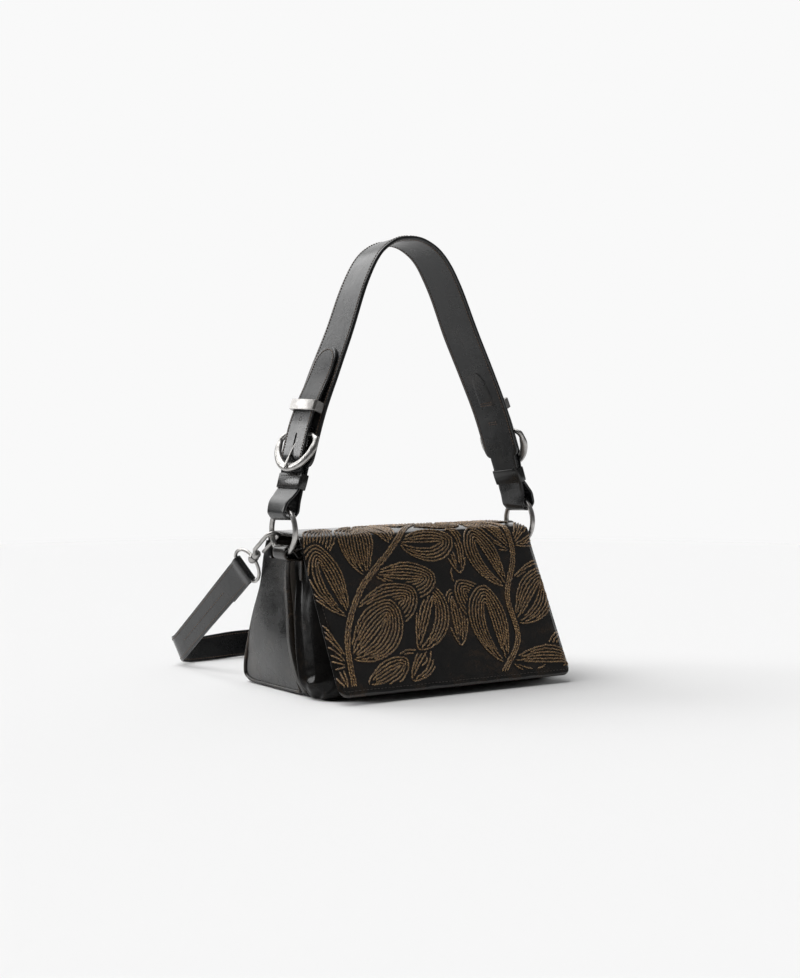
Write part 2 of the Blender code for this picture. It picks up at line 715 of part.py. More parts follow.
def build_flap(leather, cloth, metal):
    """Top and front of the flap, which fold at the front edge, and the magnetic snap."""
    down, out, length = flap_frame()
    fold = Vector((0.0, FLAP_FOLD_Y, FLAP_FOLD_Z))
    hinge = (0.0, FLAP_HINGE_Y, FLAP_HINGE_Z)
    bisector = (Vector((0.0, 1.0, 0.0)) + down).normalized()
    reach_top = FLAP_TOP_THICK / abs(bisector.z)

    top_line = [Vector((FLAP_HINGE_Y, FLAP_HINGE_Z, 0.0))]
    top_line.append(Vector((FLAP_HINGE_Y - FLAP_TOP_THICK, FLAP_FOLD_Z - FLAP_CROWN, 0.0)))
    top_line.append(Vector((FLAP_HINGE_Y - FLAP_CORNER_RADIUS * 2, FLAP_FOLD_Z + FLAP_CROWN / 2, 0.0)))
    top_line.append(Vector(((FLAP_HINGE_Y + FLAP_FOLD_Y) / 2, FLAP_FOLD_Z + FLAP_CROWN, 0.0)))
    top_line.append(Vector((FLAP_FOLD_Y + SEAT_GAP, FLAP_FOLD_Z, 0.0)))
    curve = spline(top_line, 3)
    upper = [(point.x, point.y) for point in curve]
    lower = []
    for index, point in enumerate(curve[:-1]):
        before = curve[max(index - 1, 0)]
        after = curve[index + 1]
        tangent = (after - before).normalized()
        lower.append((point.x - tangent.y * FLAP_TOP_THICK, max(point.y + tangent.x * FLAP_TOP_THICK, FLAP_HINGE_Z)))
    lower[0] = (FLAP_HINGE_Y - FLAP_TOP_THICK, FLAP_HINGE_Z)
    inner_end = fold + bisector * reach_top
    lower.append((inner_end.y + SEAT_GAP, inner_end.z))
    vertices = []
    line = upper + lower[::-1]
    for sign in (-1, 1):
        for y, z in line:
            share = (y - FLAP_FOLD_Y) / (FLAP_HINGE_Y - FLAP_FOLD_Y)
            half = (FLAP_WIDTH + (FLAP_REAR_WIDTH - FLAP_WIDTH) * min(max(share, 0.0), 1.0)) / 2
            vertices.append(Vector((sign * half, y, z)))
    count = len(line)
    faces = [(index, (index + 1) % count, count + (index + 1) % count, count + index) for index in range(count)]
    faces.append(tuple(reversed(range(count))))
    faces.append(tuple(range(count, 2 * count)))
    add_solid("flap_top", vertices, faces, leather, hinge)

    def on_flap(across, along, depth):
        return fold + Vector((across, 0.0, 0.0)) + down * along - out * depth

    def sheet(name, low, high, margin, material):
        half = FLAP_WIDTH / 2 - margin
        far = length - margin
        radius = FLAP_CORNER_RADIUS - margin
        rings = []
        for depth in (low, high):
            mitre = depth / math.tan(math.acos(max(min(bisector.dot(down), 1.0), -1.0)))
            start = max(mitre, 0.0) + SEAT_GAP
            ring = [on_flap(half, start, depth)]
            ring += [on_flap(x, y, depth) for x, y in arc((half - radius, far - radius), radius, 0.0, 90.0, 5)]
            ring += [on_flap(x, y, depth) for x, y in arc((radius - half, far - radius), radius, 90.0, 180.0, 5)]
            ring.append(on_flap(-half, start, depth))
            rings.append(ring)
        add_skin(name, rings, False, material, fold)

    sheet("flap_front", 0.0, FLAP_FRONT_THICK, 0.0, leather)
    lining_low = FLAP_FRONT_THICK + SEAT_GAP
    lining_high = lining_low + FLAP_LINING_THICK
    sheet("flap_lining", lining_low, lining_high, FLAP_LINING_MARGIN, cloth)

    along = length * MAGNET_SHARE
    ring_line = arc((0.0, along), MAGNET_RADIUS, 0.0, 345.0, 23)
    male_low = lining_high + SEAT_GAP
    male_high = male_low + MAGNET_THICK
    add_prism("flap_magnet", ring_line, on_flap, male_low, male_high, metal, fold)
    female_low = male_high + SEAT_GAP
    add_prism("body_magnet", ring_line, on_flap, female_low, female_low + MAGNET_THICK, metal)


def build_ring_and_tab(side, sign, leather, metal):
    """Round ring that carries the handle and the strap, and the leather tab that holds it."""
    centre = Vector((sign * RING_X, RING_Y, RING_Z))
    points = []
    for y, z in arc((RING_Y, RING_Z), RING_RADIUS, 0.0, 350.0, 35):
        points.append(Vector((sign * RING_X, y, z)))
    sizes = [RING_WIRE] * len(points)
    rings = tube_rings(points, Vector((1, 0, 0)), sizes, sizes, True)
    add_skin(f"ring_{side}", rings, True, metal, centre)

    half_width = TAB_WIDTH / 2
    lift = RING_RADIUS - math.sqrt(RING_RADIUS ** 2 - half_width ** 2)
    bore = RING_WIRE + SEAT_GAP * 3
    line_radius = bore + TAB_THICK / 2
    low = RING_Z - RING_RADIUS
    high = low + lift
    wall = BODY_WIDTH / 2 - PANEL_THICK - SEAT_GAP
    inner_x = wall - TAB_THICK * 1.5 - SEAT_GAP
    outer_x = wall - TAB_THICK / 2
    lip = BODY_HEIGHT + SEAT_GAP + TAB_THICK / 2
    foot = BODY_HEIGHT - TAB_DEPTH
    path = [(inner_x, foot), (inner_x, lip + TAB_THICK + SEAT_GAP)]
    path += [(BODY_WIDTH / 2, lip + TAB_THICK + SEAT_GAP)]
    path += [(RING_X - line_radius - TAB_THICK, high - TAB_THICK)]
    path += arc((RING_X, high), line_radius, 180.0, 0.0, 6)
    path += arc((RING_X, low), line_radius, 0.0, -90.0, 4)
    path += [(BODY_WIDTH / 2, lip), (outer_x, lip), (outer_x, foot)]
    add_strip(f"tab_{side}", path, TAB_THICK,
              lambda x, z, y: Vector((sign * x, RING_Y + y, z)), half_width, leather)


def add_strip(name, path, thick, place, half_width, material):
    """A flat strip bent along a path, with its thickness square to the path."""
    points = [Vector(point) for point in path]
    rings = []
    last = len(points) - 1
    for index, point in enumerate(points):
        first = (point - points[max(index - 1, 0)])
        second = (points[min(index + 1, last)] - point)
        if first.length == 0.0:
            first = second
        if second.length == 0.0:
            second = first
        first.normalize()
        second.normalize()
        tangent = (first + second).normalized()
        stretch = 1.0 / max(tangent.dot(second), 0.5)
        normal = Vector((-tangent.y, tangent.x)) * (thick / 2 * stretch)
        near = point - normal
        far = point + normal
        rings.append([
            place(near.x, near.y, -half_width),
            place(far.x, far.y, -half_width),
            place(far.x, far.y, half_width),
            place(near.x, near.y, half_width),
        ])
    return add_skin(name, rings, False, material)


class Leg:
    """One side of the handle: turns (along, across, outward) into a point in space."""

    def __init__(self, sign):
        self.sign = sign
        self.twist = TWIST_LEFT if sign < 0 else TWIST_RIGHT
        points = [(RING_X * x, HANDLE_RISE * h, 0.0) for x, h in HANDLE_LEG_SHARES]
        points.append((0.0, HANDLE_RISE, 0.0))
        mirrored = [(-x, h, z) for x, h, z in points[::-1]][1:3]
        curve = spline(points + mirrored, 6)
        self.route = Route([point for point in curve if point.x >= -SEAT_GAP])
        self.length = self.route.length
        self.lean = Quaternion(Vector((1, 0, 0)), -HANDLE_LEAN)
        self.centre = Vector((0.0, RING_Y, RING_Z))

    def to_space(self, x, height, depth):
        """From the handle's own upright plane to space."""
        local = Vector((self.sign * x, depth, height))
        return self.centre + self.lean @ local

    def frame(self, along):
        """Point, width direction and outward direction in the handle's own plane."""
        point = self.route.point(along)
        tangent = self.route.tangent(along)
        outward = Vector((tangent.y, -tangent.x, 0.0))
        angle = math.radians(table_value(self.twist, along / self.length))
        across = Vector((0, 0, 1)) * math.cos(angle) + outward * math.sin(angle)
        normal = outward * math.cos(angle) - Vector((0, 0, 1)) * math.sin(angle)
        return point, across, normal

    def place(self, along, across, outward):
        """A point beside the leg's centre line."""
        point, wide, normal = self.frame(along)
        spot = point + wide * across + normal * outward
        return self.to_space(spot.x, spot.y, spot.z)

    def band_ring(self, along, half_width, centre, thick):
        """Four corners of a flat band across the leg."""
        low = centre - thick / 2
        high = centre + thick / 2
        return [
            self.place(along, -half_width, low),
            self.place(along, half_width, low),
            self.place(along, half_width, high),
            self.place(along, -half_width, high),
        ]


def handle_half_width(along):
    """Half width of the handle: narrow at the end, then a rounded shoulder."""
    share = min(max((along - SHOULDER_AT) / SHOULDER_LONG, 0.0), 1.0)
    rise = math.sqrt(1.0 - (1.0 - share) ** 2)
    return (HANDLE_END_WIDTH + (HANDLE_WIDTH - HANDLE_END_WIDTH) * rise) / 2


def tail_offset(along):
    """How far outward the folded-over tail lies as it passes over the buckle bar."""
    base = HANDLE_THICK / 2 + SEAT_GAP + TAIL_THICK / 2
    top = bar_offset() + eye_radius() + SEAT_GAP + TAIL_THICK / 2
    rise = ease(along, BULGE_RISE_FROM, BULGE_RISE_TO) - ease(along, BULGE_FALL_FROM, BULGE_FALL_TO)
    return base + (top - base) * rise


def eye_radius():
    """Outer radius of the prong's eye."""
    return BUCKLE_BAR_RADIUS + RUN_GAP + PRONG_EYE_WALL


def bar_offset():
    """How far outward the buckle's bar lies."""
    return HANDLE_THICK / 2 + SEAT_GAP + eye_radius()


def rim_offset():
    """How far outward the buckle's rim lies where it crosses the tail."""
    return tail_offset(BUCKLE_RIM_AT) + TAIL_THICK / 2 + BUCKLE_RIM_LIFT + BUCKLE_RIM_THICK


def build_handle_strap(legs, leather):
    """The wide strap, from one leg's lower end over the top to the other's."""
    left, right = legs
    stations = [BUTT_AT, SHOULDER_AT]
    stations += [SHOULDER_AT + SHOULDER_LONG * share for share in (0.1, 0.35, 0.65, 1.0)]
    count = 26
    first = stations[-1]
    for step in range(1, count):
        stations.append(first + (left.length - first) * step / count)
    rings = [left.band_ring(along, handle_half_width(along), 0.0, HANDLE_THICK) for along in stations]
    for along in stations[::-1]:
        corners = right.band_ring(along, handle_half_width(along), 0.0, HANDLE_THICK)
        rings.append(corners)
    add_skin("handle_strap", rings, False, leather, left.centre)


def end_loop():
    """Centre line of the handle end's turn round the ring."""
    bore_floor = math.sqrt((RING_RADIUS - RING_WIRE) ** 2 - (LOOP_WIDTH / 2) ** 2) - SEAT_GAP
    top = bore_floor + LOOP_RADIUS
    radius = LOOP_RADIUS + TAIL_THICK / 2
    return arc((RING_X, top), radius, 180.0, 360.0, 8)


def build_handle_end(side, leg, leather):
    """Strip that loops round the ring and runs up over the buckle to a pointed tip."""
    half = HANDLE_END_WIDTH / 2
    rings = []
    inner_offset = -(HANDLE_THICK - TAIL_THICK) / 2
    for along in (BUTT_AT - SEAT_GAP, BUTT_AT / 2, 0.0):
        rings.append(leg.band_ring(along, half, inner_offset, TAIL_THICK))

    point_in, across_in, normal_in = leg.frame(0.0)
    start = point_in + normal_in * inner_offset
    finish = point_in + normal_in * tail_offset(0.0)
    loop = [Vector((x, height, 0.0)) for x, height in end_loop()]
    path = [start, start.lerp(loop[0], 0.5) + Vector((LOOP_RADIUS / 8, 0.0, 0.0))]
    path += loop
    path += [loop[-1].lerp(finish, 0.35) + Vector((LOOP_RADIUS / 3, LOOP_RADIUS / 4, 0.0))]
    path += [loop[-1].lerp(finish, 0.7) + Vector((LOOP_RADIUS / 5, 0.0, 0.0)), finish]
    last = len(path) - 1
    for index in range(1, last):
        tangent = (path[index + 1] - path[index - 1]).normalized()
        normal = Vector((-tangent.y, tangent.x, 0.0))
        if index <= last / 2:
            share = 1.0 - ease(index, 0, last / 3)
        else:
            share = ease(index, last * 2 / 3, last)
        angle = math.radians(leg.twist[0][1]) * share
        wide = Vector((0, 0, 1)) * math.cos(angle)
        shift = leg_outward(normal_in) * math.sin(angle)
        ring = []
        near = half + (LOOP_WIDTH / 2 - half) * (1.0 - share)
        for across, deep in ((-near, 1), (near, 1), (near, -1), (-near, -1)):
            spot = path[index] + (wide + shift) * across + normal * (deep * TAIL_THICK / 2)
            ring.append(leg.to_space(spot.x, spot.y, spot.z))
        rings.append(ring)

    stations = [0.0]
    stations += [TAIL_TIP_AT * share for share in (0.05, 0.10, 0.15)]
    count = 12
    for step in range(1, count + 1):
        stations.append(BULGE_RISE_FROM + (BULGE_FALL_TO - BULGE_RISE_FROM) * step / count)
    tail_from = TAIL_TIP_AT - TAIL_TIP_LONG
    for step in range(1, 6):
        stations.append(BULGE_FALL_TO + (tail_from - BULGE_FALL_TO) * step / 5)
    stations = sorted(set(stations))
    for along in stations:
        narrow = TAIL_WIDTH / 2 if along > BULGE_RISE_FROM else half
        rings.append(leg.band_ring(along, narrow, tail_offset(along), TAIL_THICK))
    for share in (0.35, 0.65, 0.85, 1.0):
        along = tail_from + TAIL_TIP_LONG * share
        width = TAIL_WIDTH / 2 * math.sqrt(1.0 - (share * 0.97) ** 2)
        rings.append(leg.band_ring(along, width, tail_offset(along), TAIL_THICK))
    piece = add_skin(f"handle_end_{side}", rings, False, leather, leg.centre)

    slot_half = PRONG_SLOT_WIDTH / 2
    slot_rings = []
    count = 4
    for step in range(count + 1):
        along = PRONG_SLOT_FROM + (PRONG_SLOT_TO - PRONG_SLOT_FROM) * step / count
        slot_rings.append(leg.band_ring(along, slot_half, tail_offset(along), TAIL_THICK + CUT_OVERRUN))
    cutter = add_skin(f"handle_end_{side}_cutter", slot_rings, False, leather, leg.centre)
    cut(piece, cutter)


def leg_outward(normal):
    """The part of a direction that lies in the handle's own plane."""
    return Vector((normal.x, normal.y, 0.0)).normalized()


def build_buckle(side, leg, metal):
    """Horseshoe buckle with a straight bar under the tail."""
    long = BUCKLE_BAR_AT - BUCKLE_RIM_AT
    belly = long - BUCKLE_HALF_WIDTH
    bar_half = BUCKLE_HALF_WIDTH - BUCKLE_CORNER
    plan = []
    for share in (-1.0, -0.5, 0.0, 0.5, 1.0):
        plan.append((bar_half * share, 0.0, 0.0))
    for across, down in arc((bar_half, belly), BUCKLE_CORNER, -60.0, 0.0, 3)[1:]:
        plan.append((across, down - belly + belly * 0.9, 0.6))
    for across, down in arc((0.0, belly), BUCKLE_HALF_WIDTH, 10.0, 170.0, 16):
        plan.append((across, down, 1.0))
    for across, down in arc((-bar_half, belly), BUCKLE_CORNER, 180.0, 240.0, 3)[:-1]:
        plan.append((across, down - belly + belly * 0.9, 0.6))
    points = []
    wide = []
    thick = []
    for across, down, share in plan:
        outward = bar_offset() + (rim_offset() - bar_offset()) * down / long
        points.append(leg.place(BUCKLE_BAR_AT - down, across, outward))
        wide.append(BUCKLE_BAR_RADIUS + (BUCKLE_RIM_WIDE - BUCKLE_BAR_RADIUS) * share)
        thick.append(BUCKLE_BAR_RADIUS + (BUCKLE_RIM_THICK - BUCKLE_BAR_RADIUS) * share)
    centre = sum(points, Vector()) / len(points)
    first = points[len(points) // 2] - centre
    second = points[0] - centre
    across = first.cross(second).normalized()
    add_skin(f"buckle_{side}", tube_rings(points, across, wide, thick, True), True, metal, leg.centre)


def build_prong(side, leg, metal):
    """Prong whose open eye wraps the bar and whose tip rests on the rim."""
    inner = BUCKLE_BAR_RADIUS + RUN_GAP
    outer = eye_radius()
    reach = BUCKLE_BAR_AT - BUCKLE_RIM_AT
    rise = rim_offset() + BUCKLE_RIM_THICK + SEAT_GAP + PRONG_HALF_THICK - bar_offset()
    lean = math.degrees(math.atan2(rise, reach))
    spread = math.degrees(math.asin(PRONG_HALF_THICK / outer))
    long = math.hypot(rise, reach) + BUCKLE_RIM_WIDE / 2
    line = arc((0.0, 0.0), outer, -110.0, lean - spread, 7)
    tip = math.radians(lean)
    along = Vector((math.cos(tip), math.sin(tip)))
    side_way = Vector((-along.y, along.x)) * PRONG_HALF_THICK
    end = along * long
    taper = side_way * 0.6
    line += [tuple(end - side_way), tuple(end + along * PRONG_HALF_THICK - taper)]
    line += [tuple(end + along * PRONG_HALF_THICK + taper), tuple(end + side_way)]
    line += arc((0.0, 0.0), outer, lean + spread, 200.0, 7)
    line += arc((0.0, 0.0), inner, 200.0, -110.0, 12)

    def place(down, outward, across):
        return leg.place(BUCKLE_BAR_AT - down, across, bar_offset() + outward)

    origin = leg.place(BUCKLE_BAR_AT, 0.0, bar_offset())
    add_prism(f"prong_{side}", line, place, -PRONG_HALF_WIDTH, PRONG_HALF_WIDTH, metal, origin)


def build_keepers(side, leg, leather, metal):
    """Leather keeper below the buckle and metal keeper above it."""
    half = HANDLE_END_WIDTH / 2 + SEAT_GAP
    low = -HANDLE_THICK / 2 - SEAT_GAP
    high = tail_offset(0.0) + TAIL_THICK / 2 + SEAT_GAP
    wall = LEATHER_KEEPER_THICK
    rings = []
    start = LEATHER_KEEPER_AT
    end = start + LEATHER_KEEPER_LONG
    for corner in ((-1, low, -1), (1, low, -1), (1, high, 1), (-1, high, 1)):
        sign, offset, out = corner
        near = sign * half
        far = sign * (half + wall)
        edge = offset + out * wall
        rings.append([
            leg.place(start, near, offset),
            leg.place(end, near, offset),
            leg.place(end, far, edge),
            leg.place(start, far, edge),
        ])
    add_skin(f"leather_keeper_{side}", rings, True, leather, leg.centre)

    wall = METAL_KEEPER_WALL
    inside = TAIL_WIDTH / 2 + METAL_KEEPER_SIDE_GAP
    outside = inside + wall
    base = HANDLE_THICK / 2 + SEAT_GAP
    ceiling = tail_offset(METAL_KEEPER_AT) + TAIL_THICK / 2 + SEAT_GAP * 2
    line = [
        (-outside - wall, base),
        (-inside, base),
        (-inside, ceiling),
        (inside, ceiling),
        (inside, base),
        (outside + wall, base),
        (outside, ceiling + wall),
        (-outside, ceiling + wall),
    ]

    def place(across, outward, along):
        return leg.place(METAL_KEEPER_AT + along, across, outward)

    add_prism(f"metal_keeper_{side}", line, place, 0.0, METAL_KEEPER_LONG, metal, leg.centre)


def hook_frame(sign):
    """Centre of the hook's bend, pulled back until it bears on the ring, and its directions."""
    along = Vector((0.0, math.cos(HOOK_PITCH), -math.sin(HOOK_PITCH)))
    out = Vector((sign, 0.0, 0.0))
    normal = along.cross(out)
    y = RING_Y + RING_RADIUS * math.cos(HOOK_RING_ANGLE)
    z = RING_Z + RING_RADIUS * math.sin(HOOK_RING_ANGLE)
    pull = HOOK_HALF - HOOK_WIRE - RING_WIRE - HOOK_PLAY
    return Vector((sign * RING_X, y, z)) + along * pull, along, out, normal


def strap_across(sign):
    """Direction from the lower to the upper edge of the strap where it meets its loop."""
    _, along, out, _ = hook_frame(sign)
    up = Vector((0.0, -along.z, along.y))
    return up * math.cos(STRAP_LOOP_ROLL) + out * math.sin(STRAP_LOOP_ROLL)


def build_hook(side, sign, metal):
    """Snap hook with its gate, and the swivelling loop that carries the strap."""
    wire_at, along, out, normal = hook_frame(sign)

    def spot(distance, outward):
        return wire_at + along * distance + out * outward

    path = []
    sizes = []
    head_end = HOOK_BLOCK_AT + HOOK_BLOCK_LONG + HOOK_NECK_LONG + HOOK_HEAD_LONG
    neck_end = head_end - HOOK_HEAD_LONG
    block_end = HOOK_BLOCK_AT + HOOK_BLOCK_LONG
    stem = (
        (head_end, HOOK_HEAD_RADIUS * 0.7),
        (head_end - HOOK_HEAD_LONG / 3, HOOK_HEAD_RADIUS),
        (neck_end, HOOK_HEAD_RADIUS),
        (neck_end - RUN_GAP / 2, HOOK_NECK_RADIUS),
        (block_end + RUN_GAP / 2, HOOK_NECK_RADIUS),
        (block_end, HOOK_BLOCK_RADIUS),
        (HOOK_BLOCK_AT, HOOK_BLOCK_RADIUS),
    )
    for distance, radius in stem:
        path.append(spot(distance, 0.0))
        sizes.append(radius)
    path += [spot(HOOK_BLOCK_AT - HOOK_WIRE, HOOK_HALF * 0.45), spot(HOOK_BAR_LONG + HOOK_WIRE, HOOK_HALF * 0.85)]
    sizes += [HOOK_BLOCK_RADIUS * 0.8, HOOK_WIRE * 1.2]
    path += [spot(HOOK_BAR_LONG, HOOK_HALF), spot(HOOK_BAR_LONG / 2, HOOK_HALF)]
    sizes += [HOOK_WIRE, HOOK_WIRE]
    for distance, outward in arc((0.0, 0.0), HOOK_HALF, 90.0, 270.0, 10):
        path.append(spot(distance, outward))
        sizes.append(HOOK_WIRE)
    path.append(spot(HOOK_TIP_LONG, -HOOK_HALF))
    sizes.append(HOOK_WIRE * 0.9)
    add_skin(f"hook_{side}", tube_rings(path, normal, sizes, sizes, False), False, metal, wire_at)

    root = spot(GATE_ROOT_AT, -GATE_ROOT_OFFSET)
    gate_tip = spot(HOOK_TIP_LONG + SEAT_GAP * 2, -HOOK_HALF)
    gate_path = [root + along * GATE_ROOT_RADIUS * 0.8, root, root.lerp(gate_tip, 0.5), gate_tip]
    gate_sizes = [GATE_ROOT_RADIUS * 0.6, GATE_ROOT_RADIUS, GATE_TIP_RADIUS, GATE_TIP_RADIUS]
    gate_rings = tube_rings(gate_path, normal, gate_sizes, gate_sizes, False)
    add_skin(f"hook_gate_{side}", gate_rings, False, metal, root)

    boss_from = block_end + SEAT_GAP
    boss_inner = HOOK_NECK_RADIUS + RUN_GAP
    boss_outer = boss_inner + BOSS_WALL
    upward = strap_across(sign)
    face = along.cross(upward)
    washer = []
    for step in range(12):
        angle = math.radians(30.0 * step)
        ray = upward * math.cos(angle) + face * math.sin(angle)
        washer.append([
            wire_at + along * boss_from + ray * boss_inner,
            wire_at + along * (boss_from + BOSS_LONG) + ray * boss_inner,
            wire_at + along * (boss_from + BOSS_LONG) + ray * boss_outer,
            wire_at + along * boss_from + ray * boss_outer,
        ])
    loop = add_skin(f"strap_loop_{side}", washer, True, metal, wire_at)

    arm = boss_from + BOSS_LONG / 2
    waist = (boss_inner + boss_outer) / 2
    half = STRAP_LOOP_HALF
    corner = STRAP_LOOP_CORNER
    bar = STRAP_LOOP_BAR_AT
    plan = [(arm, waist), (arm + corner / 2, half * 0.55)]
    plan += arc((arm + corner * 1.4, half - corner), corner, 110.0, 90.0, 1)[:1]
    plan += arc((arm + corner * 2, half - corner), corner, 90.0, 90.0, 1)[:1]
    plan += arc((bar - corner / 2, half - corner / 2), corner / 2, 90.0, 0.0, 3)
    plan += [(distance, -across) for distance, across in plan[::-1]]
    frame_points = [wire_at + along * distance + upward * across for distance, across in plan]
    frame_sizes = [STRAP_LOOP_WIRE] * len(frame_points)
    frame_rings = tube_rings(frame_points, face, frame_sizes, frame_sizes, False)
    wire = add_skin(f"strap_loop_{side}_wire", frame_rings, False, metal, wire_at)
    join(loop, wire)


def strap_route():
    """Centre line of the crossbody strap, from the left loop's bar to the right loop's bar."""
    floor = STRAP_FLOOR_GAP + STRAP_WIDTH / 2
    left_at, along, _, _ = hook_frame(-1)
    right_at, _, _, _ = hook_frame(1)
    turn = STRAP_TURN_RADIUS
    left = left_at + along * STRAP_LOOP_BAR_AT
    right = right_at + along * STRAP_LOOP_BAR_AT
    land = STRAP_LAND_Y - turn
    points = [left + along * STRAP_STRAIGHT]
    for share, drop in ((0.35, 0.34), (0.70, 0.70), (0.88, 0.91)):
        y = left.y + (land - left.y) * share
        points.append(Vector((left.x, y, left.z + (floor - left.z) * drop)))
    points.append(Vector((left.x, land, floor)))
    corner_y = STRAP_BACK_Y - turn
    points += flat_arc((left.x + turn, corner_y), turn, 150.0, 90.0, 3, floor)
    row = STRAP_ROW_PITCH / 2
    rear = STRAP_BACK_Y
    points += flat_line(left.x + 2 * turn, STRAP_ROW_RIGHT_X, rear, 4, floor)
    points += flat_arc((STRAP_ROW_RIGHT_X, rear - row), row, 60.0, -60.0, 4, floor)
    points += flat_line(STRAP_ROW_RIGHT_X, STRAP_ROW_LEFT_X, rear - 2 * row, 3, floor)
    points += flat_arc((STRAP_ROW_LEFT_X, rear - 3 * row), row, 120.0, 240.0, 4, floor)
    points += flat_line(STRAP_ROW_LEFT_X, right.x - 2 * turn, rear - 4 * row, 3, floor)
    points += flat_arc((right.x - turn, rear - 4 * row - turn), turn, 60.0, 0.0, 3, floor)
    rise = STRAP_RISE_Y
    for share, climb in ((0.0, 0.03), (0.30, 0.30), (0.62, 0.68)):
        y = rise + (right.y - rise) * share
        points.append(Vector((right.x, y, floor + (right.z - floor) * climb)))
    points.append(right + along * STRAP_STRAIGHT)
    return Route([left, *spline(points, 5), right])


def flat_arc(centre, radius, start, end, steps, height):
    """Arc laid on the floor."""
    return [Vector((x, y, height)) for x, y in arc(centre, radius, start, end, steps)]


def flat_line(start_x, end_x, y, steps, height):
    """Straight run laid on the floor along the width."""
    return [Vector((start_x + (end_x - start_x) * step / steps, y, height)) for step in range(steps + 1)]


def strap_frame(route, distance):
    """Point, upward edge direction and face direction of the strap."""
    point = route.point(distance)
    tangent = route.tangent(distance)
    upright = Vector((0, 0, 1))
    left_share = 1.0 - ease(distance, 0.0, STRAP_SETTLE)
    right_share = ease(distance, route.length - STRAP_SETTLE, route.length)
    rest = 1.0 - left_share - right_share
    edge = strap_across(-1) * left_share + upright * rest + strap_across(1) * right_share
    edge -= tangent * edge.dot(tangent)
    edge.normalize()
    return point, edge, tangent.cross(edge).normalized()


def build_strap(leather):
    """Crossbody strap: it hangs from both rings and lies folded behind the bag."""
    route = strap_route()
    half = STRAP_WIDTH / 2
    bend = STRAP_LOOP_WIRE + SEAT_GAP + STRAP_THICK / 2
    flat = (STRAP_THICK + SEAT_GAP) / 2

    def corners(point, edge, outward):
        deep = outward * (STRAP_THICK / 2)
        wide = edge * half
        ring = [point - wide - deep, point + wide - deep, point + wide + deep, point - wide + deep]
        return [Vector((spot.x, spot.y, max(spot.z, 0.0))) for spot in ring]

    def layer(distance, sign):
        point, edge, normal = strap_frame(route, distance)
        from_end = min(distance, route.length - distance)
        offset = bend + (flat - bend) * ease(from_end, 0.0, STRAP_CLOSE_UP)
        return corners(point + normal * (offset * sign), edge, normal * sign)

    def turn(distance, direction):
        point, edge, normal = strap_frame(route, distance)
        back = route.tangent(distance) * direction
        result = []
        for angle in (67.5, 45.0, 22.5, 0.0, -22.5, -45.0, -67.5):
            bow = math.radians(angle)
            ray = normal * math.sin(bow) + back * math.cos(bow)
            result.append(corners(point + ray * bend, edge, ray))
        return result

    fold = [STRAP_FOLD_LONG * share for share in (1.0, 0.75, 0.5, 0.35, 0.25, 0.18, 0.12, 0.06, 0.0)]
    rings = [layer(distance, 1) for distance in fold]
    rings += turn(0.0, -1.0)
    rings += [layer(distance, -1) for distance in fold[:0:-1]]
    count = int((route.length - 2 * STRAP_FOLD_LONG) / STRAP_STEP)
    for step in range(count + 1):
        rings.append(layer(STRAP_FOLD_LONG + (route.length - 2 * STRAP_FOLD_LONG) * step / count, -1))
    rings += [layer(route.length - distance, -1) for distance in fold[1:]]
    rings += turn(route.length, 1.0)[::-1]
    rings += [layer(route.length - distance, 1) for distance in fold[::-1]]
    add_skin("crossbody_strap", rings, False, leather)
    return route.length


def main():
    """Build every piece."""
    clear_scene()
    materials = make_materials()
    glazed = materials["glazed_leather"]
    strap_leather = materials["strap_leather"]
    metal = materials["gunmetal"]
    cloth = materials["lining_cloth"]
    build_rear_compartment(glazed, cloth, materials["board"])
    build_front_compartment(glazed, cloth)
    build_zip(glazed, materials["zip_tape"], metal)
    build_flap(glazed, cloth, metal)
    legs = (Leg(-1), Leg(1))
    build_handle_strap(legs, strap_leather)
    for side, sign, leg in (("left", -1, legs[0]), ("right", 1, legs[1])):
        build_ring_and_tab(side, sign, glazed, metal)
        build_handle_end(side, leg, strap_leather)
        build_buckle(side, leg, metal)
        build_prong(side, leg, metal)
        build_keepers(side, leg, strap_leather, metal)
        build_hook(side, sign, metal)
    print("crossbody strap length", round(build_strap(strap_leather), 3))


main()
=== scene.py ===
"""Looks of the flap shoulder bag: leather shells, corded flap, straps, hardware, light and camera."""

import math
from itertools import product

import bmesh
import bpy
from mathutils import Matrix, Quaternion, Vector, noise


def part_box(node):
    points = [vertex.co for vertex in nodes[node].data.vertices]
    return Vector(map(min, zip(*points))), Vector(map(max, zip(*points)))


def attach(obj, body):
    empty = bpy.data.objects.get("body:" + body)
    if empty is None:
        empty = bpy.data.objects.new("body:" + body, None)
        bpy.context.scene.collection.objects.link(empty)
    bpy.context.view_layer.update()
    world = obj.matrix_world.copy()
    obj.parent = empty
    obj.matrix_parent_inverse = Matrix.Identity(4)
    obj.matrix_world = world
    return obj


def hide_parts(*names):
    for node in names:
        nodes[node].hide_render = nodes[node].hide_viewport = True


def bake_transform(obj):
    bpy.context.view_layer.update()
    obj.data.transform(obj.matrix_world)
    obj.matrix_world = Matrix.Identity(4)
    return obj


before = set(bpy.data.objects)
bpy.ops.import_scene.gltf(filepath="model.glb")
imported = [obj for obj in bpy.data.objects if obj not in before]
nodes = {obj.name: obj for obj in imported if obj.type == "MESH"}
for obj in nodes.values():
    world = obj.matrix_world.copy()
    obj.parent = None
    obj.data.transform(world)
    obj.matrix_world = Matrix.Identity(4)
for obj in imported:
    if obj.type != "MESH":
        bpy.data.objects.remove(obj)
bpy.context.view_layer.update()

# Camera fitted to the photograph's straight edges
CAMERA_PLACE = (-0.8915, -1.3373, 0.2459)
CAMERA_FORWARD = (0.5551, 0.8304, -0.0476)
CAMERA_LENS = 66.83
CAMERA_SENSOR = 36.0
CAMERA_NEAR = 0.05
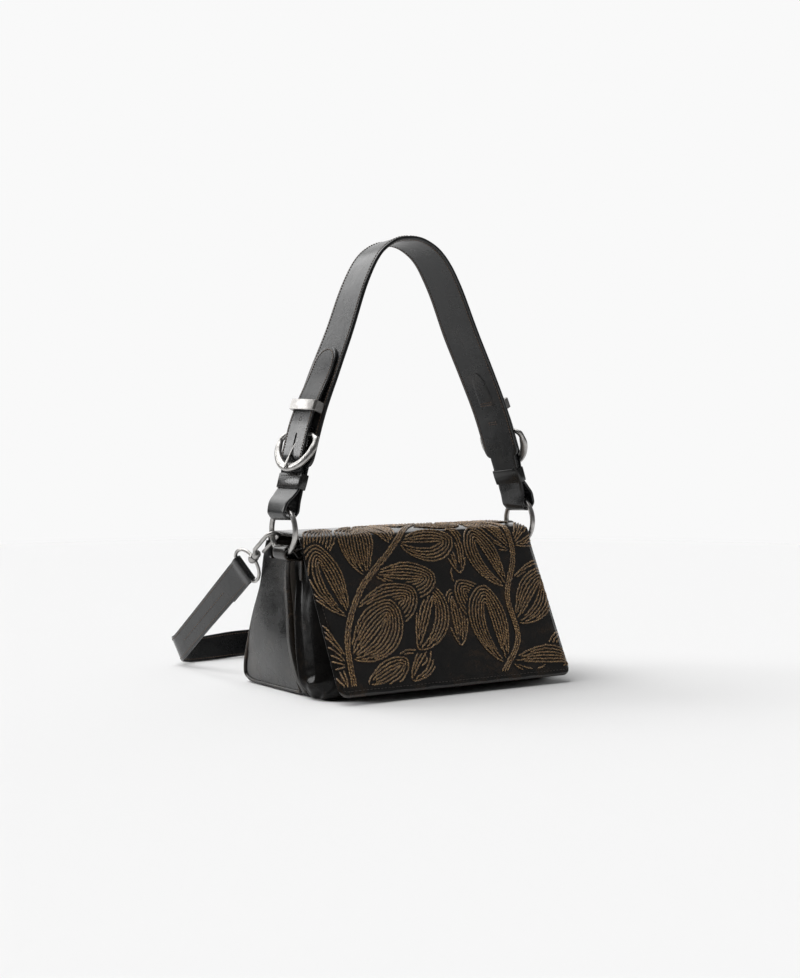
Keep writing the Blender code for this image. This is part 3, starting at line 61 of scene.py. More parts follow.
CAMERA_FAR = 60.0

# Light
PAPER = 0.947
FLOOR_TONE = 0.790
FLOOR_RADIUS = 1.7
DARK_SIDE = 0.03
BACKDROP = 0.95
WINDOW = 9.0
BACKLIGHT = 2.5
FILL = 0.11
OVERHEAD = 2.8
OVERHEAD_SPREAD = math.radians(50.0)
OVERHEAD_WAY = (0.30, -0.32, -1.0)
BACKDROP_WAY = (0.55, 0.83, 0.10)
WINDOW_WAY = (-0.71, 0.62, 0.33)
BACKLIGHT_WAY = (-0.25, 0.80, 0.55)
FILL_WAY = (0.56, -0.52, 0.65)

# Body, as in the solids
BODY_WIDTH = 0.232
BODY_HEIGHT = 0.112
BACK_HEIGHT = 0.127
BASE_REAR_Y = 0.071
BASE_SEAM_Y = -0.038
TOP_REAR_Y = 0.031
TOP_SEAM_Y = -0.008
PANEL_THICK = 0.0022
BACK_CORNER_RADIUS = 0.011
FRONT_BULGE = 0.0462
FRONT_TOP_HEIGHT = 0.119
FRONT_CORNER_RADIUS = 0.015
FRONT_FOOT_RADIUS = 0.0048
FRONT_SIDE_STEPS = 88
FRONT_STEPS = 26
SEAM_BOW = 0.0135
SEAM_BOW_BELOW = 0.004
SEAM_BOW_FROM = 0.030
SEAM_BOW_TO = 0.003
SIDE_BULGE = 0.0034
BAND_HIGH = 0.0038
VALLEY_DEEP = 0.0125
LOBE_PUFF = 0.0118
BAND_SHARES = ((0.0, 0.0), (0.02, 0.55), (0.05, 1.0), (0.15, 1.10), (0.195, 0.85), (0.245, 0.0), (1.0, 0.0))
BAND_TO_SHARE = 0.21
BAND_FOOT = 0.0034
BAND_SHORTER = 0.0044
BAND_PROUD = 0.0005
BAND_SUNK = 0.0004
LOBE_SHARES = (
    (0.0, 0.0), (0.272, 0.0), (0.290, 0.30), (0.308, 0.80), (0.326, 0.98), (0.345, 1.0), (0.40, 0.93),
    (0.52, 0.76), (0.70, 0.50), (0.85, 0.28), (1.0, 0.10),
)
FRONT_PANEL_SHARES = (
    (0.67, 0.0), (0.83, 0.045), (0.93, 0.13), (0.965, 0.24), (0.93, 0.36), (0.86, 0.50), (0.76, 0.66),
    (0.63, 0.82), (0.51, 1.0),
)
BULGE_HEIGHT = 0.032
BULGE_SPREAD = 0.030
PINCH_DEEP = 0.0050
PINCH_HEIGHT = 0.088
PINCH_SPREAD = 0.020
WALL_CORNER = 0.0026
WALL_FOOT_TUCK = 0.0016
WALL_FOOT_SHARE = 0.018
WALL_DENT = 0.0032
WALL_WAVE = 0.00070
BEAD_RADIUS = 0.0013
BEAD_INSET = 0.0018

# Flap
FLAP_WIDTH = 0.240
FLAP_REAR_WIDTH = 0.227
FLAP_HINGE_Y = 0.0335
FLAP_HINGE_Z = 0.1274
FLAP_FOLD_Y = -0.0325
FLAP_FOLD_Z = 0.1345
FLAP_BOTTOM_Y = -0.0985
FLAP_BOTTOM_Z = 0.0073
FLAP_TOP_THICK = 0.0030
FLAP_FRONT_THICK = 0.0044
FLAP_CORNER_RADIUS = 0.009
FLAP_REACH = 0.0012
FLAP_STEP = 0.0030
FLAP_FINE_STEP = 0.0016
FLAP_EDGE_FALL = 0.009
FLAP_HEM = 0.0046
FLAP_HEM_FROM = 0.012
FLAP_LINING_FROM = 0.012
FLAP_LINING_INSET = 0.0034
FLAP_LINING_GAP = 0.00065

# Zip
ZIP_TOP = 0.1195
ZIP_HALF_LENGTH = 0.101
ZIP_PANEL_THICK = 0.0018
ZIP_TAPE_THICK = 0.0008
TOOTH_PITCH = 0.0016
EDGE_BEVEL = 0.00025
TOOTH_SIZES = ((0.00045, 0.0006), (0.0006, 0.0008), (0.00058, 0.0008), (0.00030, 0.0005))

# Rings, tabs and handle
RING_X = 0.1250
RING_Y = -0.014
RING_Z = 0.138
RING_RADIUS = 0.0197
RING_WIRE = 0.0023
TAB_WIDTH = 0.020
TAB_THICK = 0.0019
TAB_DEPTH = 0.016
HANDLE_RISE = 0.250
HANDLE_LEAN = math.radians(2.8)
HANDLE_WIDTH = 0.038
HANDLE_END_WIDTH = 0.029
HANDLE_THICK = 0.0032
TAIL_THICK = 0.0024
TAIL_WIDTH = 0.027
LOOP_RADIUS = 0.0052
LOOP_WIDTH = 0.026
HANDLE_LEG_SHARES = (
    (0.928, 0.136), (0.904, 0.172), (0.852, 0.260), (0.760, 0.400), (0.640, 0.540), (0.512, 0.680),
    (0.384, 0.835), (0.262, 0.938), (0.130, 0.987),
)
TWIST_LEFT = ((0.0, 8.0), (0.12, 11.0), (0.40, 11.0), (0.58, 6.0), (0.80, 2.0), (1.0, -3.0))
TWIST_RIGHT = ((0.0, -11.0), (0.12, -16.0), (0.40, -18.0), (0.58, -18.0), (0.80, -14.0), (1.0, -3.0))
BUTT_AT = 0.007
LEATHER_KEEPER_AT = 0.0006
LEATHER_KEEPER_LONG = 0.0130
LEATHER_KEEPER_THICK = 0.0011
LEATHER_KEEPER_CORNER = 0.0012
SHOULDER_AT = 0.0210
SHOULDER_LONG = 0.0085
SHOULDER_RIGHT_LATER = 0.0050
TONGUE_FROM = 0.0745
TONGUE_TO = 0.1075
TONGUE_HALF_WIDTH = 0.0078
TONGUE_THICK = 0.0010
TONGUE_BAR_SHARE = 0.85
SECOND_BAR_SHARE = 0.62
SECOND_BAR_AT = 0.0570
BUCKLE_RIM_AT = 0.0175
BUCKLE_BAR_AT = 0.0480
METAL_KEEPER_AT = 0.0675
METAL_KEEPER_LONG = 0.0090
TAIL_TIP_AT = 0.129
TAIL_TIP_LONG = 0.016
TAIL_PRESSED = 0.0018
TAIL_WIDEN_FROM = 0.014
TAIL_WIDEN_TO = 0.020
STITCHED_FROM = 0.0262
HOLE_AT = 0.0600
HOLE_RIM = ((0.0019, -0.0001), (0.0016, 0.00022), (0.0012, 0.00020), (0.0010, -0.0002))
BULGE_RISE_FROM = 0.0100
BULGE_RISE_TO = 0.0300
BULGE_FALL_FROM = 0.0500
BULGE_FALL_TO = 0.1120
BUCKLE_HALF_WIDTH = 0.0222
BUCKLE_BAR_RADIUS = 0.0015
BUCKLE_RIM_WIDE = 0.0036
BUCKLE_RIM_THICK = 0.0025
BUCKLE_RIM_LIFT = 0.0008
BUCKLE_CORNER = 0.0065
PRONG_EYE_WALL = 0.0009
PRONG_HALF_WIDTH = 0.0009
PRONG_HALF_THICK = 0.0009
PRONG_BOW = 0.0004
PRONG_SLOT_FROM = 0.0262
PRONG_SLOT_TO = 0.0478
PRONG_SLOT_WIDTH = 0.0023
PRONG_SLOT_DEEP = 0.004
PRONG_WIDTHS = ((0.0, 0.0009), (0.64, 0.0009), (0.72, 0.0017), (0.92, 0.0019), (1.0, 0.0012))
METAL_KEEPER_WALL = 0.0013
METAL_KEEPER_PLATE = 0.0030
METAL_KEEPER_SIDE_GAP = 0.0006
METAL_KEEPER_TRIM = 0.00035

# Hooks, strap loops and strap
HOOK_RING_ANGLE = math.radians(-16.0)
HOOK_PITCH = math.radians(33.0)
HOOK_HALF = 0.006
HOOK_WIRE = 0.0018
HOOK_PLAY = 0.0008
HOOK_BAR_LONG = 0.022
HOOK_TIP_LONG = 0.0055
HOOK_BLOCK_AT = 0.0300
HOOK_BLOCK_LONG = 0.0052
HOOK_BLOCK_RADIUS = 0.0036
HOOK_NECK_RADIUS = 0.0020
HOOK_NECK_LONG = 0.0064
HOOK_HEAD_RADIUS = 0.0031
HOOK_HEAD_LONG = 0.0018
GATE_ROOT_RADIUS = 0.0016
GATE_TIP_RADIUS = 0.0013
GATE_ROOT_AT = 0.0262
GATE_ROOT_OFFSET = 0.0047
BOSS_LONG = 0.0050
BOSS_WALL = 0.0020
STRAP_LOOP_HALF = 0.0155
STRAP_LOOP_WIRE = 0.0015
STRAP_LOOP_BAR_AT = 0.0580
STRAP_LOOP_ROLL = math.radians(21.0)
STRAP_LOOP_SHARES = (
    (0.05, 0.36), (0.15, 0.62), (0.30, 0.83), (0.50, 0.96), (0.70, 1.0), (0.87, 0.96), (0.97, 0.88), (1.0, 0.78),
)
STRAP_WIDTH = 0.025
STRAP_THICK = 0.0020
STRAP_FOLD_LONG = 0.040
STRAP_FLOOR_GAP = 0.0003
STRAP_STITCH_INSET = 0.0026
STRAP_REACH = 0.004
STRAP_BACK_Y = 0.205
STRAP_TURN_RADIUS = 0.020
STRAP_ROW_PITCH = 0.028
STRAP_ROW_RIGHT_X = 0.104
STRAP_ROW_LEFT_X = -0.040
STRAP_RISE_Y = 0.118
STRAP_STEP = 0.004
STRAP_SETTLE = 0.110
STRAP_CLOSE_UP = 0.010
STRAP_STRAIGHT = 0.012
STRAP_CURL_RADIUS = 0.0240
STRAP_CURL_EDGE = (-0.16, 0.50, 0.85)
STRAP_CURL_HEIGHT = 0.0112
STRAP_CURL_LAND_Y = 0.1765
STRAP_CURL_FROM = 0.185
STRAP_CURL_TO = 0.270

SEAT_GAP = 0.0003
RUN_GAP = 0.0002
HALF = 0.5
CORNER_SHARE = 0.42
CORNER_STEPS = 3
RIGHT = Vector((1, 0, 0))
UP = Vector((0, 0, 1))
SIDES = (("left", -1), ("right", 1))

# Stitches and cords
STITCH_PITCH = 0.0027
STITCH_LONG = 0.0019
STITCH_RADIUS = 0.00042
STITCH_INSET = 0.0028
BAR_STITCH_RADIUS = 0.00040
MIDDLE_STITCH_RADIUS = 0.00036
MIDDLE_STITCHES_TO = 0.135
THIN_STITCH_RADIUS = 0.00030
FINE_STITCH_RADIUS = 0.00028
CORD_RADIUS = 0.00072
CORD_PITCH = 0.0030
CORD_STEP = 0.0013
CORD_SWAY = 0.00065
CORD_SIDES = 6
CORD_LAY_LONG = 0.0026
CORD_TOP_MARGIN = 0.018
CORD_FOOT_MARGIN = 0.0075
CORD_SHORTEST = 8
STEM_GAP_SHARE = 0.62
BARE_FROM_X = -0.022
BARE_TO_X = 0.027
BARE_FROM = 0.110
MOTIF_GAP_SHARE = 0.84
CORD_GAP_SHARE = 0.56


# Small helpers

def clamp(value):
    """The value, kept between 0 and 1."""
    return min(max(value, 0.0), 1.0)


def ease(value, low, high):
    """Smooth step from 0 at low to 1 at high."""
    share = clamp((value - low) / (high - low))
    return share * share * (3 - 2 * share)


def table_value(table, key):
    """Straight-line value between the rows of a table."""
    for (low, first), (high, second) in zip(table, table[1:]):
        if key <= high:
            share = max((key - low) / (high - low), 0.0)
            return first + (second - first) * share
    return table[-1][1]


def arc(centre, radius, start, end, steps):
    """Points of an arc in a plane, angles in degrees."""
    angles = [math.radians(start + (end - start) * step / steps) for step in range(steps + 1)]
    return [(centre[0] + radius * math.cos(angle), centre[1] + radius * math.sin(angle)) for angle in angles]


def turns(count):
    """Angles once round, in equal steps."""
    return [math.tau * step / count for step in range(count)]


def rounding(radius, past):
    """How far a rounded corner has drawn in, at a distance past the start of its curve."""
    return radius - math.sqrt(max(radius ** 2 - past ** 2, 0.0))


def step_at(points, index, closed=False):
    """The way from the point before to the point after."""
    count = len(points)
    before = (index - 1) % count if closed else max(index - 1, 0)
    after = (index + 1) % count if closed else min(index + 1, count - 1)
    return points[after] - points[before]


def spline(points, per_span):
    """Points of a Catmull-Rom curve through the given points."""
    fixed = [Vector(point) for point in points]
    padded = [fixed[0] * 2 - fixed[1], *fixed, fixed[-1] * 2 - fixed[-2]]
    result = []
    for index in range(1, len(padded) - 2):
        before, start, end, after = padded[index - 1:index + 3]
        for step in range(per_span):
            share = step / per_span
            result.append(
                start * 0.5 * (2 - 5 * share ** 2 + 3 * share ** 3)
                + before * 0.5 * (-share + 2 * share ** 2 - share ** 3)
                + end * 0.5 * (share + 4 * share ** 2 - 3 * share ** 3)
                + after * 0.5 * (share ** 3 - share ** 2)
            )
    result.append(fixed[-1])
    return result


class Route:
    """A line through space that can be read by the length along it."""

    def __init__(self, points):
        self.points = [Vector(point) for point in points]
        self.marks = [0.0]
        for first, second in zip(self.points, self.points[1:]):
            self.marks.append(self.marks[-1] + (second - first).length)
        self.length = self.marks[-1]

    def _span(self, distance):
        low = 0
        high = len(self.points) - 2
        while low < high:
            middle = (low + high) // 2
            if distance <= self.marks[middle + 1]:
                high = middle
            else:
                low = middle + 1
        return low

    def point(self, distance):
        """Point at a distance along the route; past its ends the route runs on straight."""
        index = self._span(distance)
        span = max(self.marks[index + 1] - self.marks[index], 1e-9)
        share = (distance - self.marks[index]) / span
        return self.points[index].lerp(self.points[index + 1], share)

    def tangent(self, distance, reach=None):
        """Unit direction, averaged over a short stretch so that it turns smoothly."""
        reach = reach or self.length / len(self.points)
        return (self.point(distance + reach) - self.point(distance - reach)).normalized()


class Builder:
    """Collects vertices, faces, face materials and one number per vertex for one mesh."""

    def __init__(self):
        self.vertices = []
        self.faces = []
        self.finish = []
        self.values = []

    def skin(self, rings, closed=False, finish=0, values=None, caps=True):
        """A skin over rings of equal length, capped at its ends where it is open."""
        start = len(self.vertices)
        count = len(rings[0])
        for index, ring in enumerate(rings):
            self.vertices += ring
            self.values += values[index] if values else [0.0] * count
        spans = len(rings) if closed else len(rings) - 1
        for step in range(spans):
            here = start + step * count
            there = start + ((step + 1) % len(rings)) * count
            for side in range(count):
                after = (side + 1) % count
                self.faces.append((here + side, here + after, there + after, there + side))
                self.finish.append(finish)
        if caps and not closed:
            last = start + (len(rings) - 1) * count
            self.faces.append(tuple(range(start + count - 1, start - 1, -1)))
            self.faces.append(tuple(range(last, last + count)))
            self.finish += [finish, finish]

    def make(self, name, materials, body=None, slot=None, replaced=(), smooth=35.0, value_name=None):
        """The mesh as an object that rides on a body."""
        work = bmesh.new()
        corners = [work.verts.new(point) for point in self.vertices]
        for face, finish in zip(self.faces, self.finish):
            made = work.faces.new([corners[index] for index in face])
            made.material_index = finish
        bmesh.ops.recalc_face_normals(work, faces=work.faces)
        mesh = bpy.data.meshes.new(name)
        work.to_mesh(mesh)
        work.free()
        mesh.shade_smooth()
        mesh.set_sharp_from_angle(angle=math.radians(smooth))
        if value_name:
            mesh.attributes.new(value_name, "FLOAT", "POINT").data.foreach_set("value", self.values)
        for material in materials:
            mesh.materials.append(material)
        item = bpy.data.objects.new(name, mesh)
        bpy.context.scene.collection.objects.link(item)
        if body:
            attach(item, body)
        if replaced:
            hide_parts(*replaced)
        return item


def solid(name, rings, material, body, slot, replaced=(), smooth=35.0, closed=False):
    """A piece made of one skin over rings."""
    shape = Builder()
    shape.skin(rings, closed=closed)
    return shape.make(name, [material], body, slot, replaced, smooth)


def tube_rings(points, radii, sides, across, closed=False):
    """Round or oval rings along a flat path; across is square to the path's plane."""
    rings = []
    for index, point in enumerate(points):
        side = step_at(points, index, closed).normalized().cross(across).normalized()
        radius = radii[index] if isinstance(radii, (list, tuple)) else radii
        wide, thick = radius if isinstance(radius, tuple) else (radius, radius)
        rings.append([point + side * (wide * math.cos(angle)) + across * (thick * math.sin(angle))
                      for angle in turns(sides)])
    return rings


def smooth_path(points, values, per_span=4):
    """A finer path and its radii, through the given ones."""
    pairs = [value if isinstance(value, tuple) else (value, value) for value in values]
    sizes = spline([(*pair, 0.0) for pair in pairs], per_span)
    return spline(points, per_span), [(size.x, size.y) for size in sizes]


def rounded_section(half_width, thick, corner, along=10):
    """Closed outline of a flat band: (across, out) pairs, with rounded edges."""
    half = thick / 2
    corner = min(corner, half, half_width)
    flat = half_width - corner
    outline = [(-flat + 2 * flat * step / along, half) for step in range(along + 1)]
    outline += arc((flat, half - corner), corner, 90.0, 0.0, CORNER_STEPS)[1:]
    outline += arc((flat, corner - half), corner, 0.0, -90.0, CORNER_STEPS)
    outline += [(flat - 2 * flat * step / along, -half) for step in range(1, along)]
    outline += arc((-flat, corner - half), corner, -90.0, -180.0, CORNER_STEPS)
    outline += arc((-flat, half - corner), corner, 180.0, 90.0, CORNER_STEPS)[:-1]
    return outline


def stitch(builder, start, end, normal, radius):
    """One thread stitch that rises out of the leather and dips back into it."""
    middle = start.lerp(end, HALF)
    lift = normal * radius
    path = [start - lift, start.lerp(middle, 0.3) + lift * 0.3, middle + lift * 0.55]
    path += [end.lerp(middle, 0.3) + lift * 0.3, end - lift]
    sizes = [radius * 0.5, radius, radius * 1.05, radius, radius * 0.5]
    builder.skin(tube_rings(path, sizes, 6, normal.cross(end - start).normalized()))


def stitch_row(builder, spot, start, end, pitch=STITCH_PITCH, long=STITCH_LONG, radius=STITCH_RADIUS):
    """Stitches along a line; spot turns a length along it into (point, normal)."""
    count = max(int((end - start) / pitch), 1)
    for index in range(count):
        first = start + (end - start) * (index + 0.15) / count
        second = min(first + long, end)
        begin, normal = spot(first)
        finish, _ = spot(second)
        stitch(builder, begin, finish, normal, radius)


def stitch_bar(builder, along, half, spot, **style):
    """Stitches square to a strap's length; spot turns (along, across, 0) into (point, normal)."""
    bar = Route([(along, -half, 0.0), (along, half, 0.0)])
    stitch_row(builder, lambda distance: spot(bar.point(distance)), 0.0, bar.length, **style)


def seam_y(height):
    """Depth of the seam between the two compartments at a height."""
    return BASE_SEAM_Y + (TOP_SEAM_Y - BASE_SEAM_Y) * height / BODY_HEIGHT


def back_y(height):
    """Depth of the back panel's outer face at a height."""
    return BASE_REAR_Y + (TOP_REAR_Y - BASE_REAR_Y) * height / BACK_HEIGHT


def seam_bow(x, height):
    """How far the soft seam between the compartments sags rearward near the sides."""
    share = math.sin(math.pi * clamp((height + SEAM_BOW_BELOW) / (BODY_HEIGHT + SEAM_BOW_BELOW))) ** 0.6
    return SEAM_BOW * share * ease(abs(x), BODY_WIDTH / 2 - SEAM_BOW_FROM, BODY_WIDTH / 2 - SEAM_BOW_TO)


def side_bulge(height):
    """How far the soft side stands out of its plane low down."""
    return SIDE_BULGE * math.exp(-((height - BULGE_HEIGHT) / BULGE_SPREAD) ** 2)


def back_pinch(height):
    """How far the back is drawn in near its ends."""
    return PINCH_DEEP * math.exp(-((height - PINCH_HEIGHT) / PINCH_SPREAD) ** 2)


# Materials

CLOTH_ROUGHNESS = 0.85


class Nodes:
    """Short calls that add nodes to a tree."""

    def __init__(self, tree):
        self.tree = tree

    def fill(self, node, inputs):
        """Gives a node's inputs their numbers, vectors or colours, or links them to other nodes."""
        for key, value in inputs.items():
            if isinstance(value, bpy.types.NodeSocket):
                self.tree.links.new(value, node.inputs[key])
            elif value is not None:
                node.inputs[key].default_value = (*value, 1.0) if isinstance(value, tuple) else value
        return node

    def node(self, kind, inputs=None, **properties):
        """A new node with its properties set and its inputs filled."""
        made = self.tree.nodes.new(kind)
        for key, value in properties.items():
            setattr(made, key, value)
        return self.fill(made, inputs or {})

    def math(self, operation, first, second=None):
        return self.node("ShaderNodeMath", {0: first, 1: second}, operation=operation).outputs[0]

    def mix(self, factor, first, second):
        return self.node("ShaderNodeMix", {0: factor, 6: first, 7: second}, data_type="RGBA").outputs[2]


class Finish(Nodes):
    """A material being built."""

    def __init__(self, name):
        self.material = bpy.data.materials.new(name)
        self.material.use_nodes = True
        super().__init__(self.material.node_tree)
        self.place = self.node("ShaderNodeTexCoord").outputs["Object"]

    def noise(self, scale, detail=3.0, roughness=0.5, distortion=0.0):
        inputs = {"Scale": scale, "Detail": detail, "Roughness": roughness, "Distortion": distortion}
        return self.node("ShaderNodeTexNoise", {**inputs, "Vector": self.place}).outputs["Fac"]

    def cells(self, scale):
        inputs = {"Scale": scale, "Vector": self.place}
        return self.node("ShaderNodeTexVoronoi", inputs, feature="DISTANCE_TO_EDGE").outputs["Distance"]

    def ramp(self, source, stops):
        made = self.node("ShaderNodeValToRGB", {"Fac": source})
        while len(made.color_ramp.elements) < len(stops):
            made.color_ramp.elements.new(0.5)
        for element, (position, colour) in zip(made.color_ramp.elements, stops):
            element.position = position
            element.color = (*colour, 1.0) if isinstance(colour, tuple) else (colour, colour, colour, 1.0)
        return made.outputs["Color"]

    def pointed(self):
        """Share that is high on outer edges."""
        return self.node("ShaderNodeNewGeometry").outputs["Pointiness"]

    def value(self, name):
        return self.node("ShaderNodeAttribute", attribute_name=name).outputs["Fac"]

    def bump(self, height, strength, distance, under=None):
        inputs = {"Strength": strength, "Distance": distance, "Height": height, "Normal": under}
        return self.node("ShaderNodeBump", inputs).outputs["Normal"]

    def done(self, colour, roughness, normal=None, **plain):
        """Joins what was made to the shader and returns the material."""
        shader = self.tree.nodes["Principled BSDF"]
        self.fill(shader, {"Base Color": colour, "Roughness": roughness, "Normal": normal})
        self.fill(shader, {key.replace("_", " "): value for key, value in plain.items()})
        return self.material


def leather(name, deep, main, worn, rough, grain=0.35, coat=0.35, edge=0.35, gloss=0.42, mottle=0.0):
    """Glazed leather: mottled colour, rubbed edges, fine crackled grain and broad soft creases."""
    make = Finish(name)
    patches = make.noise(26.0, 4.0, 0.6, 0.6)
    clouds = make.noise(190.0, 3.0, 0.65)
    tone = make.math("ADD", make.math("MULTIPLY", patches, 0.65), make.math("MULTIPLY", clouds, 0.35))
    colour = make.ramp(tone, ((0.32, deep), (0.52, main), (0.72, worn)))
    rub = make.ramp(make.math("ADD", make.pointed(), make.math("MULTIPLY", clouds, 0.03)),
                    ((0.535, 0.0), (0.575, edge)))
    colour = make.mix(rub, colour, worn)
    cracks = make.cells(1150.0)
    crazing = make.ramp(cracks, ((0.0, 0.0), (0.16, 1.0)))
    pores = make.noise(2600.0, 2.0, 0.5)
    swell = make.noise(70.0, 3.0, 0.5, 0.5)
    first = make.bump(swell, grain * 0.60, 0.0012)
    second = make.bump(crazing, grain * 0.30, 0.00012, first)
    third = make.bump(pores, grain * 0.35, 0.00010, second)
    shine = make.ramp(tone, ((0.25, rough * 0.75), (0.60, rough), (0.85, rough * 1.5)))
    if mottle:
        cloud = make.noise(34.0, 4.0, 0.62, 0.4)
        shine = make.ramp(cloud, ((0.34, rough * (1 + mottle)), (0.66, rough * (1 - mottle))))
    return make.done(colour, shine, third, Specular_IOR_Level=gloss, Coat_Weight=coat, Coat_Roughness=0.10)


def metal(name, colour, rough):
    """Dark polished plating with faint rubbed patches and hairlines."""
    make = Finish(name)
    patches = make.noise(160.0, 4.0, 0.6)
    fine = make.noise(2200.0, 2.0, 0.6, 1.5)
    dark = tuple(part * 0.62 for part in colour)
    tint = make.ramp(patches, ((0.30, dark), (0.62, colour)))
    shine = make.ramp(fine, ((0.30, rough * 0.8), (0.70, rough * 1.5)))
    return make.done(tint, shine, make.bump(fine, 0.05, 0.00005), Metallic=1.0)


def woven(name, dark, light, scale):
    """Plain woven cloth: crossed threads with light and dark flecks."""
    make = Finish(name)
    waves = []
    for direction in ("X", "Z"):
        made = make.node("ShaderNodeTexWave", {"Scale": scale, "Distortion": 0.6, "Vector": make.place},
                         bands_direction=direction)
        waves.append(made.outputs["Fac"])
    threads = make.math("MULTIPLY", *waves)
    flecks = make.noise(scale * 2.0, 2.0, 0.6)
    tone = make.math("ADD", make.math("MULTIPLY", threads, 0.6), make.math("MULTIPLY", flecks, 0.4))
    colour = make.ramp(tone, ((0.15, dark), (0.75, light)))
    return make.done(colour, CLOTH_ROUGHNESS, make.bump(threads, 0.5, 0.0003), Sheen_Weight=0.25, Sheen_Roughness=0.5)


def twisted(name, dark, light, glint, rough):
    """Cord of two plies laid round each other; one ply is a gold thread, and the bright noise flecks on it are
    painted glints.
    """
    make = Finish(name)
    phase = make.math("FRACT", make.value("lay"))
    wave = make.math("SINE", make.math("MULTIPLY", make.value("lay"), math.tau))
    flecks = make.noise(950.0, 2.0, 0.7)
    patches = make.noise(55.0, 3.0, 0.6)
    base = make.ramp(patches, ((0.35, dark), (0.65, light)))
    stripe = make.ramp(phase, ((0.0, 0.15), (0.40, 0.15), (0.55, 1.0), (0.75, 1.0), (0.92, 0.15)))
    # The stripe follows the gold ply's own colour; the noise flecks on it are painted glints of light
    painted_glint = make.math("MULTIPLY", stripe, make.ramp(flecks, ((0.42, 0.0), (0.60, 1.0))))
    colour = make.mix(painted_glint, base, glint)
    shine = make.ramp(flecks, ((0.3, rough * 0.7), (0.7, rough)))
    return make.done(colour, shine, make.bump(wave, 0.6, 0.0002), Sheen_Weight=0.15, Sheen_Roughness=0.4)


def thread(name, dark, light):
    """Waxed sewing thread."""
    make = Finish(name)
    fine = make.noise(3000.0, 2.0, 0.6)
    return make.done(make.ramp(fine, ((0.3, dark), (0.7, light))), 0.5, make.bump(fine, 0.4, 0.0001))


GLAZED = leather("glazed_leather", (0.0080, 0.0076, 0.0074), (0.0140, 0.0128, 0.0118), (0.050, 0.030, 0.017),
                 0.22, coat=0.30)
# Darker copy of the glazed leather for the front compartment: its dark colours are painted shade for the flap's
# shadow over it
SHADE_DARKENED_FRONT_LEATHER = leather("front_leather_painted_shade", (0.0035, 0.0034, 0.0034), (0.0062, 0.0058, 0.0055),
                        (0.024, 0.016, 0.010), 0.22, coat=0.05, gloss=0.13)
GUSSET = leather("gusset_leather", (0.0075, 0.0078, 0.0080), (0.013, 0.013, 0.0128), (0.036, 0.028, 0.021), 0.26,
                 grain=0.36, coat=0.18, gloss=0.62, mottle=0.40)
STRAP_LEATHER = leather("strap_leather", (0.0075, 0.0080, 0.0085), (0.0135, 0.0142, 0.0148), (0.030, 0.027, 0.024),
                        0.28, grain=0.42, coat=0.26, mottle=0.22)
RAW_EDGE = leather("painted_edge", (0.004, 0.004, 0.0038), (0.008, 0.0075, 0.007), (0.016, 0.013, 0.010), 0.40,
                   grain=0.2, coat=0.05)
WORN_EDGE = leather("worn_edge", (0.005, 0.0045, 0.004), (0.010, 0.008, 0.006), (0.14, 0.090, 0.055), 0.34,
                    grain=0.5, coat=0.10, edge=0.0)
WORN_BAND = leather("worn_band", (0.006, 0.0055, 0.005), (0.012, 0.010, 0.008), (0.085, 0.055, 0.034), 0.28,
                    grain=0.5, coat=0.20, edge=0.12)
GUNMETAL = metal("gunmetal", (0.53, 0.517, 0.50), 0.31)
LINING = woven("lining_cloth", (0.030, 0.024, 0.018), (0.075, 0.060, 0.046), 1300.0)
TAPE = woven("zip_tape", (0.008, 0.0075, 0.007), (0.026, 0.024, 0.022), 1600.0)
# Cord colours: dark and light brown, then the bright painted glint colour of the gold ply's flecks
CORD = twisted("bronze_cord", (0.036, 0.021, 0.012), (0.100, 0.056, 0.028), (0.95, 0.60, 0.28), 0.36)
BROWN_THREAD = thread("brown_thread", (0.060, 0.036, 0.023), (0.15, 0.095, 0.060))
DARK_THREAD = thread("dark_thread", (0.020, 0.016, 0.013), (0.050, 0.038, 0.030))


# Flap

def flap_profile():
    """Middle line of the flap's outer face, from the hinge over the top and down the front."""
    down = Vector((FLAP_BOTTOM_Y - FLAP_FOLD_Y, FLAP_BOTTOM_Z - FLAP_FOLD_Z, 0.0)).normalized()
    fold = Vector((FLAP_FOLD_Y, FLAP_FOLD_Z, 0.0))
    over = (
        (FLAP_HINGE_Y, FLAP_HINGE_Z),
        (FLAP_HINGE_Y - 0.0012, FLAP_HINGE_Z + 0.0042),
        (FLAP_HINGE_Y - 0.0058, FLAP_FOLD_Z + 0.0005),
        (FLAP_HINGE_Y - 0.0190, FLAP_FOLD_Z + 0.0014),
        ((FLAP_HINGE_Y + FLAP_FOLD_Y) / 2, FLAP_FOLD_Z + 0.0016),
        (FLAP_FOLD_Y + 0.0150, FLAP_FOLD_Z + 0.0012),
        (FLAP_FOLD_Y + 0.0052, FLAP_FOLD_Z - 0.0002),
    )
    points = [Vector((y, z, 0.0)) for y, z in over]
    points += [fold + down * 0.0006 + Vector((0.0008, -0.0010, 0.0)), fold + down * 0.0062, fold + down * 0.020]
    length = (Vector((FLAP_BOTTOM_Y, FLAP_BOTTOM_Z, 0.0)) - fold).length
    points += [fold + down * (length * share) for share in (0.30, 0.48, 0.66, 0.82, 0.93, 1.0)]
    return Route(spline(points, 8))


FLAP_LINE = flap_profile()
FLAP_LONG = FLAP_LINE.length
FOLD_AT = min((abs(FLAP_LINE.point(step / 4000).x - FLAP_FOLD_Y + 0.0008), step / 4000)
              for step in range(0, int(FLAP_LONG * 4000)))[1]


def flap_half(along):
    """Half width of the flap at a length along its middle line."""
    point = FLAP_LINE.point(along)
    share = clamp((point.x - FLAP_FOLD_Y) / (FLAP_HINGE_Y - FLAP_FOLD_Y))
    half = (FLAP_WIDTH + (FLAP_REAR_WIDTH - FLAP_WIDTH) * share) / 2
    left = FLAP_LONG - along
    if left < FLAP_CORNER_RADIUS:
        half -= rounding(FLAP_CORNER_RADIUS, FLAP_CORNER_RADIUS - left)
    return half


